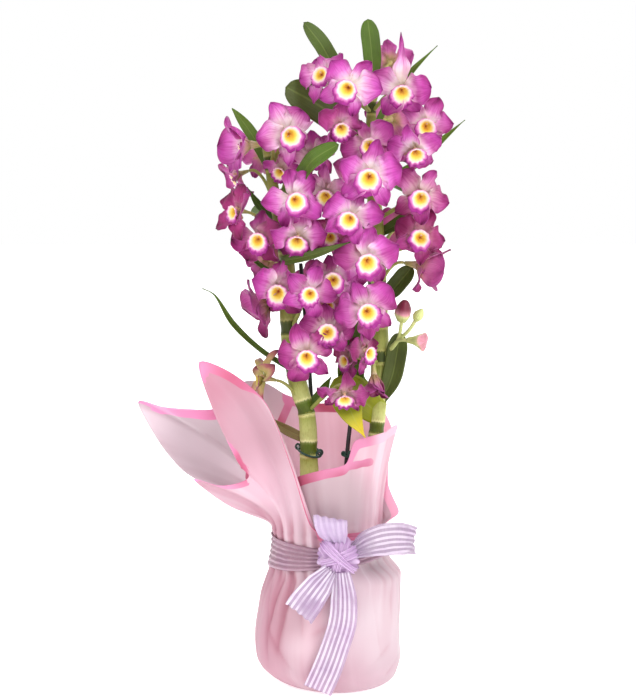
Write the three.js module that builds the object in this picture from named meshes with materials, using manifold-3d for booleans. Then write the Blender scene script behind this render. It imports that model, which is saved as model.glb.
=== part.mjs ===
// A gift-wrapped dendrobium orchid in flower. Two jointed canes carry leaves, buds and blooms on short
// stalks. They stand in a pot of bark with two stakes and two wire clips. Two sheets of wrap are gathered
// up round the pot, and a ribbon ties them at the neck.
// Millimetres, +Z up, the front towards -Y, the origin at the middle of the base.
import * as THREE from "three";
import { mergeVertices } from "three/addons/utils/BufferGeometryUtils.js";
import Module from "manifold-3d";

const wasm = await Module();
wasm.setup();

// ---- driving dimensions -------------------------------------------------------------------------------

const GAP = 0.4; // between pieces that touch

const SHEET = 0.8; // thickness of a wrap sheet
// The gathered sheet, as [radius, height, shift to the right] from its flat base to the tied neck.
const WRAP_PROFILE = [[50, 0, 8], [69.5, 19, 1], [70.5, 50, -1], [65.5, 104, 6], [53, 133]];
const NECK = WRAP_PROFILE.at(-1);
const OUTER_COLLAR = [54.2, 148]; // where the outer sheet leaves the ribbon
const OUTER_EDGE = [54.5, 152]; // its edge where no flap stands up
const INNER_COLLAR = [52.6, 156]; // where the inner sheet starts to flare

const POT = { foot: 41, rim: 56, height: 104, wall: 2, lip: 3, lipHeight: 9, drain: 7, sides: 24, x: 3 };
const BARK_TOP = 94; // height of the bark above the pot's foot
const STEM_FOOT = 70; // height at which canes and stakes end in the bark

const BAND_WALL = 1.1; // the ribbon's two turns round the neck
const RIBBON = 1; // thickness of the ribbon's loops and tails

const STAKE_RADIUS = 2;
const WIRE_RADIUS = 0.9;

// Each cane: its line from the bark up, its radius along it, and the spacing of its joints.
const CANES = {
  left: {
    line: [[-15, -5, 102], [-16, -5, 155], [-18, -5, 210], [-20, -4, 256], [-26, -2, 277], [-33, 0, 304],
      [-37, 0, 340], [-38, 0, 370], [-39, 0, 400], [-46, 3, 440], [-54, 6, 484], [-59, 8, 512]],
    radii: [8.5, 8.5, 9, 8.5, 8, 8.5, 8.5, 8, 7, 6, 5, 3.5],
    spacing: 39,
  },
  right: {
    line: [[29, 8, 102], [34, 8, 150], [42, 10, 200], [47, 13, 240], [50, 18, 306], [47, 22, 384],
      [45, 22, 446], [42, 18, 508], [41, 16, 540], [43, 14, 566]],
    radii: [6.5, 6.5, 7, 7.5, 8.5, 9, 9, 6.5, 5.5, 3.5],
    spacing: 34,
  },
};
const CANE_SIDES = 8;

// Each leaf: its cane, the height of its root, the points of its midrib beyond the cane, its width, and
// the way its face looks.
const LEAVES = [
  ["right", 560, [[7, 12, 584], [-8, 5, 606], [-23, 0, 624]], 18, [0.4, -1, 0.3]],
  ["right", 562, [[42, 15, 582], [40, 14, 606], [37, 13, 629]], 18, [0.2, -1, 0]],
  ["right", 520, [[20, 16, 530], [-10, 10, 549], [-40, 2, 565]], 33, [0.1, -1, 0.3]],
  ["right", 515, [[54, 30, 545], [78, 34, 580], [105, 34, 607]], 8, [-0.5, -0.9, 0.3]],
  ["right", 478, [[78, 34, 490], [108, 32, 516], [131, 26, 536]], 9, [-0.4, -1, 0.3]],
  ["left", 478, [[-60, 20, 500], [-74, 24, 524], [-91, 20, 547]], 13, [0.3, -1, 0.1]],
  ["left", 460, [[-26, -26, 479], [-13, -54, 495], [9, -66, 508]], 18, [-0.3, -0.9, 0.3]],
  ["left", 436, [[-64, 16, 452], [-77, 10, 472]], 9, [0.5, -0.8, 0.2]],
  ["right", 425, [[76, 24, 444], [84, 22, 458]], 13, [-0.5, -0.8, 0.2]],
  ["right", 358, [[62, 34, 372], [82, 34, 396]], 18, [-0.3, -0.9, 0.1]],
  ["left", 296, [[-66, -6, 319], [-90, -10, 343], [-107, -14, 371], [-118, -14, 377]], 8, [0.5, -0.6, 0.7]],
  ["right", 262, [[61, 8, 290], [69, 10, 334]], 20, [-0.2, -1, 0.1]],
  ["right", 270, [[22, -4, 292], [27, -9, 322], [38, -12, 350]], 26, [0.1, -1, 0.1]],
  ["left", 262, [[-8, 2, 274], [3, 8, 292]], 10, [0, -1, 0.3]],
  ["right", 256, [[18, -14, 281], [21, -38, 264], [34, -44, 240]], 33, [0, -1, 0.1]],
  ["left", 232, [[-42, -6, 244], [-56, -14, 256]], 10, [-0.3, -0.9, 0.2]],
  ["right", 446, [[52, 60, 468], [66, 86, 480], [84, 92, 470]], 20, [-0.2, 0.6, 0.8]],
  ["left", 384, [[-62, -8, 397], [-86, -10, 420]], 5, [0.4, -0.8, 0.3]],
  ["left", 396, [[-44, -16, 401], [-17, -34, 408], [20, -46, 421]], 10, [0.1, -1, 0.4]],
  ["right", 432, [[32, -4, 426], [20, -16, 415]], 18, [-0.2, -1, 0.3]],
  ["left", 404, [[-46, 40, 430], [-58, 72, 452], [-76, 92, 446]], 20, [0.1, 0.6, 0.8]],
  ["right", 320, [[40, 58, 348], [30, 84, 372], [20, 96, 366]], 18, [-0.2, 0.6, 0.8]],
];
const LEAF_THICKNESS = 1.4;

// Each bloom: its cane, the middle of its lip, the turn to the right, the tilt up and the roll to the left
// of the way it faces in degrees, and its size, where 1 is 52 mm across.
const BLOOMS = [
  ["top_front", "right", [16, -48, 558], -8, 0, -30, 0.98],
  ["top_left", "right", [-8, -22, 574], -35, 20, 30, 0.9],
  ["top_right", "right", [67, -35, 555], 5, -20, -4, 1],
  ["top_back", "right", [62, 36, 590], 160, 20, 0, 0.8],
  ["right_1", "right", [91, -18, 526], 15, 8, -20, 0.95],
  ["right_2", "right", [80, -42, 499], 5, -30, 12, 0.88],
  ["right_3", "right", [85, -30, 460], 10, 0, -26, 0.95],
  ["right_4", "right", [86, -18, 424], 15, 20, -28, 0.95],
  ["right_5", "right", [92, 0, 392], 74, -14, 4, 1.12],
  ["middle_1", "right", [36, -60, 477], 0, 0, -14, 1.1],
  ["middle_2", "right", [38, -30, 508], -6, 8, 22, 0.9],
  ["middle_3", "right", [12, -40, 522], 14, -18, 0, 0.82],
  ["middle_4", "right", [18, -56, 440], -8, -6, -22, 0.95],
  ["middle_5", "right", [36, -50, 401], 8, -4, 8, 1.05],
  ["middle_6", "right", [36, -52, 356], -6, 4, 32, 1],
  ["middle_7", "right", [39, -42, 318], 45, 0, 10, 0.75],
  ["middle_8", "right", [42, -20, 289], 20, -82, 0, 0.85],
  ["middle_9", "right", [14, -30, 310], -50, 0, 0, 0.7],
  ["centre_1", "left", [-34, -35, 517], 8, 0, 30, 1.02],
  ["centre_2", "left", [-12, -20, 498], 10, 0, 15, 0.8],
  ["centre_3", "left", [-46, -14, 484], -25, -20, -20, 0.68],
  ["centre_4", "left", [-29, -52, 457], 12, 0, 18, 0.98],
  ["centre_5", "left", [-3, -36, 461], -10, -6, -10, 0.85],
  ["centre_6", "left", [-29, -38, 419], -4, -28, -8, 0.95],
  ["centre_7", "left", [2, -14, 424], 0, 0, 0, 0.75],
  ["centre_8", "left", [4, -42, 385], -10, 16, 12, 0.92],
  ["centre_9", "left", [-17, -58, 373], 6, 4, -24, 0.85],
  ["centre_10", "left", [1, -8, 360], 5, 0, 0, 0.6],
  ["centre_11", "left", [-1, -47, 338], 0, 22, 0, 0.95],
  ["centre_12", "left", [-20, -60, 315], -10, -6, 20, 0.95],
  ["centre_13", "left", [15, -56, 276], 5, -38, 0, 0.8],
  ["left_1", "left", [-82, -18, 504], -74, -8, 6, 1.2],
  ["left_2", "left", [-90, 14, 478], -75, -24, 10, 0.9],
  ["left_3", "left", [-90, -18, 447], -50, 5, -16, 0.95],
  ["left_4", "left", [-66, -26, 421], -20, 0, 14, 0.92],
  ["left_5", "left", [-47, -40, 373], -15, 0, 8, 1],
  ["left_6", "left", [-64, -12, 354], -78, -18, 20, 1.15],
  ["left_faded", "left", [-67, -16, 290], -78, 8, 4, 0.95],
  ["back_1", "right", [66, 72, 536], 150, 0, 0, 0.95],
  ["back_2", "left", [-64, 58, 500], 200, 0, 0, 0.95],
  ["back_3", "right", [30, 80, 482], 185, 0, 0, 1],
  ["back_4", "left", [-26, 60, 452], 170, 0, 0, 0.95],
  ["back_5", "right", [78, 74, 430], 155, -5, 0, 0.95],
  ["back_6", "left", [-60, 54, 400], 205, 0, 0, 0.9],
  ["back_7", "right", [22, 76, 420], 180, 0, 0, 0.95],
  ["back_8", "left", [-14, 54, 372], 165, 0, 0, 0.9],
];

// Each bud: its cane, the height of its stalk's root, the stalk's points beyond the cane, and its radius.
const BUDS = [
  ["right", 306, [[66, 4, 326], [70, -5, 348]], 8],
  ["right", 306, [[66, 4, 326], [77, -6, 338], [83, -10, 348]], 4.8],
  ["right", 306, [[66, 4, 326], [72, -6, 328], [77, -10, 328]], 7],
];

const STAKES = {
  left: [[-11, 11, 111], [-16, 11, 271], [-26, 11, 400]],
  right: [[13, 2, 111], [18, 2, 214], [24, 4, 270], [27, 8, 302]],
};

// The collar of the wrap: for each angle round the neck, in degrees from +X, the point that the outer
// sheet's edge reaches, if a flap stands there, and the point that the inner sheet's edge reaches.
const COLLAR = [
  [0, [68, -4, 164], [64, 2, 240]],
  [10, [59, 16, 186], [56, 18, 226]],
  [20, [61, 33, 222], [55, 30, 230]],
  [30, [62, 41, 240], [51, 44, 246]],
  [41, [54, 55, 254], [42, 57, 254]],
  [54, [42, 70, 232], [30, 66, 258]],
  [68, [24, 80, 204], [16, 70, 258]],
  [83, null, [2, 72, 258]],
  [98, null, [-12, 72, 258]],
  [112, null, [-26, 70, 262]],
  [125, null, [-42, 64, 268]],
  [138, null, [-62, 56, 280]],
  [148, null, [-84, 46, 282]],
  [157, null, [-108, 36, 258]],
  [165, null, [-135, 26, 258]],
  [173, null, [-160, 12, 262]],
  [181, null, [-181, 0, 268]],
  [189, [-92, -28, 173], [-158, -10, 229]],
  [196, [-125, -42, 201], [-133, -22, 203]],
  [203, [-103, -52, 197], [-100, -17, 186]],
  [209, [-85, -59, 200], [-66, -27, 182]],
  [214, [-72, -66, 208], [-50, -35, 183]],
  [219, [-82, -73, 224], [-43, -37, 187]],
  [225, [-104, -70, 270], [-39, -39, 191]],
  [231, [-118, -60, 312], [-36, -40, 195]],
  [238, [-88, -62, 302], [-34, -42, 199]],
  [245, [-56, -66, 274], [-31, -46, 203]],
  [252, [-34, -68, 218], [-26, -51, 206]],
  [260, [-17, -61, 162], [-18, -55, 209]],
  [269, null, [-5, -60, 213]],
  [281, null, [16, -56, 218]],
  [293, null, [24, -46, 237]],
  [306, null, [40, -38, 241]],
  [324, null, [54, -27, 244]],
  [342, [60, -24, 160], [65, -13, 248]],
];
const ANGLES = COLLAR.map(([angle]) => THREE.MathUtils.degToRad(angle));

// ---- making closed bodies -----------------------------------------------------------------------------

const point = ([x, y, z]) => new THREE.Vector3(x, y, z);

// A surface sewn from rings of equal count. Each ring runs anticlockwise seen from where the surface goes.
class Skin {
  points = [];
  faces = [];

  ring(points) {
    return points.map((p) => this.points.push(p) - 1);
  }

  band(from, to) {
    from.forEach((a, i) => {
      const j = (i + 1) % from.length;
      this.faces.push([a, from[j], to[j]], [a, to[j], to[i]]);
    });
  }

  fan(ring, tip) {
    const [end] = this.ring([tip]);
    ring.forEach((a, i) => this.faces.push([a, ring[(i + 1) % ring.length], end]));
  }

  geometry() {
    const geometry = new THREE.BufferGeometry();
    const places = this.points.flatMap((p) => [p.x, p.y, p.z]);
    geometry.setAttribute("position", new THREE.Float32BufferAttribute(places, 3));
    geometry.setIndex(this.faces.flat());
    return geometry;
  }
}

const middle = (points) =>
  points.reduce((sum, p) => sum.add(p), new THREE.Vector3()).divideScalar(points.length);

// A closed body through a row of rings, ended by the two tips, or flat where none is given.
function loft(rings, startTip = middle(rings[0]), endTip = middle(rings.at(-1))) {
  const skin = new Skin();
  const rows = rings.map((ring) => skin.ring(ring));
  rows.slice(1).forEach((row, i) => skin.band(rows[i], row));
  skin.fan([...rows[0]].reverse(), startTip);
  skin.fan(rows.at(-1), endTip);
  return skin.geometry();
}

// Two directions square to each of the line's points, the first of them as near to `face` as it can be.
function framesAlong(line, face) {
  return line.map((p, i) => {
    const along = line[Math.min(i + 1, line.length - 1)].clone().sub(line[Math.max(i - 1, 0)]).normalize();
    const side = along.clone().cross(face).normalize();
    return { p, side, out: side.clone().cross(along) };
  });
}

// A round rod along a line of points.
function rod(line, radiusAt, sides) {
  const rings = framesAlong(line, new THREE.Vector3(0.13, -1, 0.11)).map(({ p, side, out }, i) =>
    Array.from({ length: sides }, (_, k) => {
      const turn = (2 * Math.PI * k) / sides;
      const r = radiusAt(i);
      return p.clone().addScaledVector(side, -r * Math.cos(turn)).addScaledVector(out, r * Math.sin(turn));
    }),
  );
  return loft(rings);
}

// A blade with sharp edges and a raised middle on both faces, from its root to its tip.
function blade(line, widthAt, thickness, face) {
  const rings = framesAlong(line.slice(0, -1), face).map(({ p, side, out }, i) => [
    p.clone().addScaledVector(side, widthAt(i) / 2),
    p.clone().addScaledVector(out, -thickness / 2),
    p.clone().addScaledVector(side, -widthAt(i) / 2),
    p.clone().addScaledVector(out, thickness / 2),
  ]);
  return loft(rings, undefined, line.at(-1));
}

const smooth = (points, steps) => new THREE.CatmullRomCurve3(points).getPoints(steps);

function solidOf(geometry) {
  const plain = new THREE.BufferGeometry();
  plain.setAttribute("position", geometry.getAttribute("position"));
  plain.setIndex(geometry.getIndex());
  const merged = mergeVertices(plain, 1e-4);
  const vertProperties = merged.getAttribute("position").array;
  const triVerts = new Uint32Array(merged.getIndex().array);
  const solid = new wasm.Manifold(new wasm.Mesh({ numProp: 3, vertProperties, triVerts }));
  if (solid.volume() > 0) return solid;
  for (let i = 0; i < triVerts.length; i += 3) {
    [triVerts[i], triVerts[i + 1]] = [triVerts[i + 1], triVerts[i]];
  }
  return new wasm.Manifold(new wasm.Mesh({ numProp: 3, vertProperties, triVerts }));
}

function geometryOf(solid) {
  const { vertProperties, triVerts } = solid.getMesh();
  const geometry = new THREE.BufferGeometry();
  geometry.setAttribute("position", new THREE.BufferAttribute(vertProperties, 3));
  geometry.setIndex(new THREE.BufferAttribute(triVerts, 1));
  return geometry;
}

const fused = (geometries) => geometryOf(geometries.map(solidOf).reduce((all, one) => all.add(one)));

const object = new THREE.Group();

function addMesh(name, geometry, [color, roughness, metalness = 0]) {
  const mesh = new THREE.Mesh(geometry, new THREE.MeshStandardMaterial({ color, roughness, metalness }));
  mesh.name = name;
  object.add(mesh);
  return mesh;
}

const FINISH = {
  cane: ["#8a9a3c", 0.5],
  bloom: ["#d24fc0", 0.6],
  faded: ["#b98a6a", 0.7],
  pot: ["#2e2e30", 0.5],
  bark: ["#4a3526", 0.95],
  stake: ["#141414", 0.4],
  wire: ["#12372b", 0.4],
  outerSheet: ["#f0a8c8", 0.45],
  innerSheet: ["#f0cfdc", 0.4],
  ribbon: ["#cdb6e6", 0.35],
};

// ---- the blooms ---------------------------------------------------------------------------------------

// A bloom faces +Z with +Y up. Its five tepals grow from a ten-point ring: a point between each two tepals,
// and one in the middle of each tepal's root, in front and behind.
const HUB = { radius: 5, depth: 0.8 };
const TEPAL_TURNS = [90, 162, 234, 306, 18].map(THREE.MathUtils.degToRad);
// Stations along a tepal: distance out, half width, lift and thickness. The tip: distance and lift.
const SEPAL = { stations: [[10, 6, -0.4, 1.6], [19, 6.6, -1.4, 1.4]], tip: [29, -2.4] };
const PETAL = { stations: [[11, 9, 1.2, 1.6], [20, 10.4, 2.2, 1.4]], tip: [28, 1.2] };
const TEPALS = [SEPAL, PETAL, SEPAL, SEPAL, PETAL];
// How some blooms differ: a longer uppermost tepal, tepals that sweep forwards by an angle, a smaller lip.
const MOODS = {
  top_right: { crown: 1.7 },
  right_5: { sweep: 0.85, lip: 0.45 },
  middle_8: { sweep: 0.9, lip: 0.4 },
  left_1: { sweep: 0.85, lip: 0.45 },
  left_2: { sweep: 0.5, lip: 0.8 },
  left_3: { sweep: 0.4, lip: 0.8 },
  left_6: { sweep: 0.75, lip: 0.5 },
  left_faded: { sweep: 0.3, lip: 0.6 },
};
const LIP = {
  throat: { radius: 4.4, y: -1.5, z: 3 },
  rim: { radius: 11.5, y: -4, z: 9 },
  inside: { radius: 3, y: -2, z: 4.2 },
};
const COLUMN_TIP = new THREE.Vector3(0, -0.5, 8);
const OVARY_TIP = new THREE.Vector3(0, -1, -11);

const around = (radius, turn, z = 0) =>
  new THREE.Vector3(radius * Math.cos(turn), radius * Math.sin(turn), z);

function bloomGeometry({ crown = 1, sweep = 0, lip = 1 } = {}) {
  const skin = new Skin();
  const half = Math.PI / TEPALS.length;
  const edges = skin.ring(TEPAL_TURNS.map((turn) => around(HUB.radius, turn - half)));
  const fronts = skin.ring(TEPAL_TURNS.map((turn) => around(HUB.radius, turn, HUB.depth)));
  const backs = skin.ring(TEPAL_TURNS.map((turn) => around(HUB.radius, turn, -HUB.depth)));

  TEPALS.forEach(({ stations, tip }, k) => {
    const turn = TEPAL_TURNS[k];
    const side = around(1, turn + Math.PI / 2);
    let last = [edges[(k + 1) % edges.length], fronts[k], edges[k], backs[k]];
    const swept = (out, lift) => {
      const reach = k === 0 ? out * crown : out;
      return around(reach * Math.cos(sweep) - lift * Math.sin(sweep), turn, reach * Math.sin(sweep) + lift);
    };
    for (const [out, fullWidth, lift, thickness] of stations) {
      const centre = swept(out, lift);
      const halfWidth = fullWidth * Math.cos(sweep);
      const next = skin.ring([
        centre.clone().addScaledVector(side, halfWidth),
        centre.clone().setZ(centre.z + thickness / 2),
        centre.clone().addScaledVector(side, -halfWidth),
        centre.clone().setZ(centre.z - thickness / 2),
      ]);
      skin.band(last, next);
      last = next;
    }
    skin.fan(last, swept(...tip));
  });

  const frontRing = edges.flatMap((edge, k) => [edge, fronts[k]]);
  const backRing = edges.flatMap((edge, k) => [edge, backs[k]]);
  const turns = TEPAL_TURNS.flatMap((turn) => [turn - half, turn]);
  let last = frontRing;
  for (const { radius, y, z } of [LIP.throat, LIP.rim, LIP.inside]) {
    const middle = new THREE.Vector3(0, y * lip, 0);
    const next = skin.ring(turns.map((turn) => around(radius * lip, turn, z).add(middle)));
    skin.band(last, next);
    last = next;
  }
  skin.fan(last, COLUMN_TIP);
  skin.fan(backRing.reverse(), OVARY_TIP);
  return skin.geometry();
}

// Where a bloom stands: its turn from facing +Z to facing the front, then its own turns, and its size.
function bloomPlace([, , lip, right, up, roll, size]) {
  const rad = THREE.MathUtils.degToRad;
  const matrix = new THREE.Matrix4().makeRotationZ(rad(right))
    .multiply(new THREE.Matrix4().makeRotationX(rad(90 - up)))
    .multiply(new THREE.Matrix4().makeRotationZ(rad(roll)))
    .scale(new THREE.Vector3(size, size, size));
  const lipOffset = new THREE.Vector3(0, LIP.rim.y, LIP.rim.z).applyMatrix4(matrix);
  return matrix.setPosition(point(lip).sub(lipOffset));
}

function addBlooms() {
  for (const row of BLOOMS) {
    const finish = row[0].endsWith("faded") ? FINISH.faded : FINISH.bloom;
    addMesh(`bloom_${row[0]}`, bloomGeometry(MOODS[row[0]]), finish).applyMatrix4(bloomPlace(row));
  }
}

// ---- the canes, with leaves, flower stalks and buds ---------------------------------------------------

function caneLine({ line, spacing }) {
  const curve = new THREE.CatmullRomCurve3(line.map(point));
  const length = curve.getLength();
  const jointShares = Array.from({ length: Math.floor(length / spacing) + 1 }, (_, i) => (i * spacing) / length);
  return { curve, length, jointShares };
}

function caneRadius(radii, share) {
  const place = Math.min(share, 0.9999) * (radii.length - 1);
  const i = Math.floor(place);
  return THREE.MathUtils.lerp(radii[i], radii[i + 1], place - i);
}

// The point on a cane's middle line at a height.
function axisAt(side, height) {
  const points = new THREE.CatmullRomCurve3(CANES[side].line.map(point)).getPoints(100);
  const above = Math.max(1, points.findIndex((p) => p.z >= height));
  const [low, high] = [points[above - 1], points[above]];
  return low.clone().lerp(high, (height - low.z) / (high.z - low.z));
}

// Each joint is a raised ring. The stretch above it starts narrow and swells to the next one.
const JOINT_STEPS = [[0, 1.1], [4, 0.88], [20, 1]];

function caneBody(cane) {
  const { curve, length, jointShares } = caneLine(cane);
  const stations = [{ p: point([...cane.line[0].slice(0, 2), STEM_FOOT]), r: cane.radii[0] }];
  for (const joint of jointShares) {
    for (const [step, swell] of JOINT_STEPS) {
      const share = joint + step / length;
      if (share > 1) continue;
      stations.push({ p: curve.getPointAt(share), r: caneRadius(cane.radii, share) * swell });
    }
  }
  return rod(stations.map(({ p }) => p), (i) => stations[i].r, CANE_SIDES);
}

const LEAF_STEPS = 5;
const leafWidth = (share) => 0.25 + 0.75 * Math.sin(Math.PI * Math.min(1, 0.12 + 0.95 * share)) ** 0.7;

function leafBody([side, height, points, width, face]) {
  const line = smooth([axisAt(side, height), ...points.map(point)], LEAF_STEPS);
  return blade(line, (i) => width * leafWidth(i / LEAF_STEPS), LEAF_THICKNESS, point(face));
}

// A flower stalk leaves the cane at the joint next below its bloom, and meets the ovary from behind.
const STALK = { sides: 3, steps: 3, foot: 1.9, end: 1.4, reach: 14 };

function stalkBody(row, cane) {
  const { curve, jointShares } = caneLine(cane);
  const place = bloomPlace(row);
  const back = new THREE.Vector3(0, 0, -1).transformDirection(place);
  const end = OVARY_TIP.clone().applyMatrix4(place).addScaledVector(back, GAP);
  const joints = jointShares.map((share) => curve.getPointAt(share));
  const joint = joints.filter((p) => p.z < end.z - 3).at(-1) ?? joints[0];
  const reach = Math.min(STALK.reach, end.distanceTo(joint) / 2);
  const bend = end.clone().addScaledVector(back, reach);
  const line = new THREE.QuadraticBezierCurve3(joint, bend, end).getPoints(STALK.steps);
  const radiusAt = (i) => THREE.MathUtils.lerp(STALK.foot, STALK.end, i / STALK.steps);
  return rod(line, radiusAt, STALK.sides);
}

const BUD_SHAPE = [[-0.2, 0.35], [0.5, 1], [1.5, 0.95], [2.3, 0.5]]; // distance and radius, in bud radii

function budBodies([side, height, points, radius]) {
  const stalk = smooth([axisAt(side, height), ...points.map(point)], 4);
  const end = stalk.at(-1);
  const along = end.clone().sub(stalk.at(-2)).normalize();
  const stations = BUD_SHAPE.map(([step, swell]) => ({
    p: end.clone().addScaledVector(along, step * radius),
    r: swell * radius,
  }));
  return [rod(stalk, () => STALK.foot, 4), rod(stations.map(({ p }) => p), (i) => stations[i].r, 6)];
}

function addCanes() {
  for (const [side, cane] of Object.entries(CANES)) {
    const own = (rows, column) => rows.filter((row) => row[column] === side);
    addMesh(`cane_${side}`, fused([
      caneBody(cane),
      ...own(LEAVES, 0).map(leafBody),
      ...own(BLOOMS, 1).map((row) => stalkBody(row, cane)),
      ...own(BUDS, 0).flatMap(budBodies),
    ]), FINISH.cane);
  }
}

// ---- pot, bark, stakes and clips ----------------------------------------------------------------------

const potFoot = 2 * (SHEET + GAP); // the pot stands on both sheets
const potWallAt = (height) => THREE.MathUtils.lerp(POT.foot, POT.rim - POT.lip, height / POT.height);

// A solid turned about Z from [radius, height] points that close on themselves or start and end on the axis.
function turned(profile, sides) {
  const lathe = new THREE.LatheGeometry(profile.map(([r, z]) => new THREE.Vector2(r, z)), sides);
  lathe.rotateX(Math.PI / 2);
  return geometryOf(solidOf(lathe));
}

function addPot() {
  const { drain, foot, rim, lip, lipHeight, height, wall, sides } = POT;
  const floor = 2.5;
  const profile = [
    [drain, 0], [foot, 0], [potWallAt(height - lipHeight), height - lipHeight], [rim, height - lipHeight],
    [rim, height], [rim - lip - wall, height], [foot - wall, floor], [drain, floor], [drain, 0],
  ].map(([r, z]) => [r, z + potFoot]);
  addMesh("pot", turned(profile, sides).translate(POT.x, 0, 0), FINISH.pot);
}

function post(x, y, radius, bottom, top) {
  const cylinder = new THREE.CylinderGeometry(radius, radius, top - bottom, 12);
  return cylinder.rotateX(Math.PI / 2).translate(x, y, (top + bottom) / 2);
}

function addBark() {
  const floor = potFoot + 2.5 + GAP;
  const top = potFoot + BARK_TOP;
  const inner = (height) => THREE.MathUtils.lerp(POT.foot, POT.rim - POT.lip, (height - potFoot) / POT.height)
    - POT.wall - 2 * GAP;
  const mound = [[0, floor], [inner(floor), floor], [inner(top), top - 3], [38, top + 1], [18, top - 1], [0, top]];
  const snug = 1.15; // room for the joint ring and the corners of the round
  const holes = [
    ...Object.values(CANES).map(({ line, radii }) => [line[0], radii[0] * snug]),
    ...Object.values(STAKES).map((line) => [line[0], STAKE_RADIUS * snug]),
  ].map(([[x, y], radius]) => post(x, y, radius + GAP, STEM_FOOT - GAP, top + 20));
  const whole = solidOf(turned(mound, POT.sides).translate(POT.x, 0, 0));
  const bark = holes.reduce((all, hole) => all.subtract(solidOf(hole)), whole);
  addMesh("growing_medium", geometryOf(bark), FINISH.bark);
}

function addStakes() {
  for (const [side, line] of Object.entries(STAKES)) {
    const foot = [...line[0].slice(0, 2), STEM_FOOT];
    addMesh(`stake_${side}`, rod([foot, ...line].map(point), () => STAKE_RADIUS, 6), FINISH.stake);
  }
}

// Wire rings: a long one round the left cane and its stake, and a small one on the right stake.
function addClips() {
  const loop = (name, x, y, z, radius, stretch, segments) => {
    const ring = new THREE.TorusGeometry(radius, WIRE_RADIUS, 5, segments).scale(1, stretch, 1);
    const mesh = addMesh(name, ring, FINISH.wire);
    mesh.position.set(x, y, z);
    mesh.rotation.x = 0.1;
  };
  loop("clip_cane", -18, 2, 222, 12, 1.5, 14);
  loop("clip_stake", 18.4, 2.1, 216, STAKE_RADIUS + WIRE_RADIUS + GAP, 1, 8);
}

// ---- the wrap -----------------------------------------------------------------------------------------

const ringAt = ([radius, height, shift = 0]) =>
  ANGLES.map((turn) => around(radius, turn, height).add(new THREE.Vector3(shift, 0, 0)));

// The profile moved inwards by a distance, square to itself.
const inset = (profile, distance) =>
  profile.map(([r, z, shift], i) => {
    const [r0, z0] = profile[i - 1] ?? [0, 0];
    const [r1, z1] = profile[i + 1] ?? [r, z + 1];
    const length = Math.hypot(r1 - r0, z1 - z0);
    return [r - (distance * (z1 - z0)) / length, z + (distance * (r1 - r0)) / length, shift];
  });

// A cup of sheet from its rings, base first: the outer face, its edge, and the inner face.
function sheetCup(rings) {
  const skin = new Skin();
  const count = ANGLES.length;
  const inner = rings.map((ring, row) => ring.map((p, i) => {
    const round = ring[(i + 1) % count].clone().sub(ring[(i + count - 1) % count]);
    const below = rings[row - 1]?.[i] ?? new THREE.Vector3(0, 0, p.z);
    const up = (rings[row + 1]?.[i] ?? p).clone().sub(below);
    return p.clone().addScaledVector(round.cross(up).normalize(), -SHEET);
  }));
  const rows = [...rings, ...inner.reverse()].map((ring) => skin.ring(ring));
  rows.slice(1).forEach((row, i) => skin.band(rows[i], row));
  const base = rings[0][0].z;
  skin.fan([...rows[0]].reverse(), new THREE.Vector3(0, 0, base));
  skin.fan(rows.at(-1), new THREE.Vector3(0, 0, base + SHEET));
  return skin.geometry();
}

// Rings from the collar's foot to the edge. Each line from foot to edge starts upright and leans over.
function flareRings(foot, edge, shares) {
  return shares.map((share) => foot.map((p, i) => {
    const rise = (edge[i].z - p.z) * 0.45;
    const lean = p.clone().add(new THREE.Vector3(0, 0, rise));
    return new THREE.QuadraticBezierCurve3(p, lean, edge[i]).getPoint(share);
  }));
}

function addWrap() {
  const shares = [0.35, 0.7, 1];
  const low = ringAt(OUTER_EDGE);
  const outerFoot = ringAt(OUTER_COLLAR);
  const outerEdge = COLLAR.map(([, outer], i) => (outer ? point(outer) : low[i]));
  const outerBody = WRAP_PROFILE.map(ringAt);
  const outerRings = [...outerBody, outerFoot, ...flareRings(outerFoot, outerEdge, shares)];
  addMesh("wrap_sheet_outer", sheetCup(outerRings), FINISH.outerSheet);

  const innerFoot = ringAt(INNER_COLLAR);
  const innerEdge = COLLAR.map(([, , inner]) => point(inner));
  const innerBody = inset(WRAP_PROFILE, SHEET + GAP).map(ringAt);
  const innerRings = [...innerBody, innerFoot, ...flareRings(innerFoot, innerEdge, shares)];
  addMesh("wrap_sheet_inner", sheetCup(innerRings), FINISH.innerSheet);
}

// ---- the ribbon ---------------------------------------------------------------------------------------

// The band's heights, and the outer sheet's radius there.
const BAND = [[58.6, 120, 2.7], [NECK[0], NECK[1]], [OUTER_COLLAR[0], OUTER_COLLAR[1] - 1]];

function bandBody() {
  const inner = BAND.map(([r, z, shift]) => [r + GAP, z, shift]);
  const outer = BAND.map(([r, z, shift]) => [r + GAP + BAND_WALL, z, shift]);
  const skin = new Skin();
  const rows = [...outer, ...inner.reverse()].map((station) => skin.ring(ringAt(station)));
  rows.forEach((row, i) => skin.band(row, rows[(i + 1) % rows.length]));
  return skin.geometry();
}

// The knot, from its flat back on the band to its front: y, then half width, lowest and highest point.
const KNOT = [[-55.2, 12, 131, 147], [-60.5, 19, 123, 150], [-68, 20, 113, 152], [-73, 12, 120, 145]];
const KNOT_MIDDLE = 10;

function knotBody() {
  const rings = KNOT.map(([y, halfWidth, low, high]) =>
    Array.from({ length: 8 }, (_, k) => {
      const turn = (Math.PI * (2 * k + 1)) / 8;
      const z = (low + high) / 2 + ((high - low) / 2) * Math.sin(turn);
      return new THREE.Vector3(KNOT_MIDDLE + halfWidth * Math.cos(turn), y, z);
    }),
  );
  return loft(rings);
}

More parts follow.
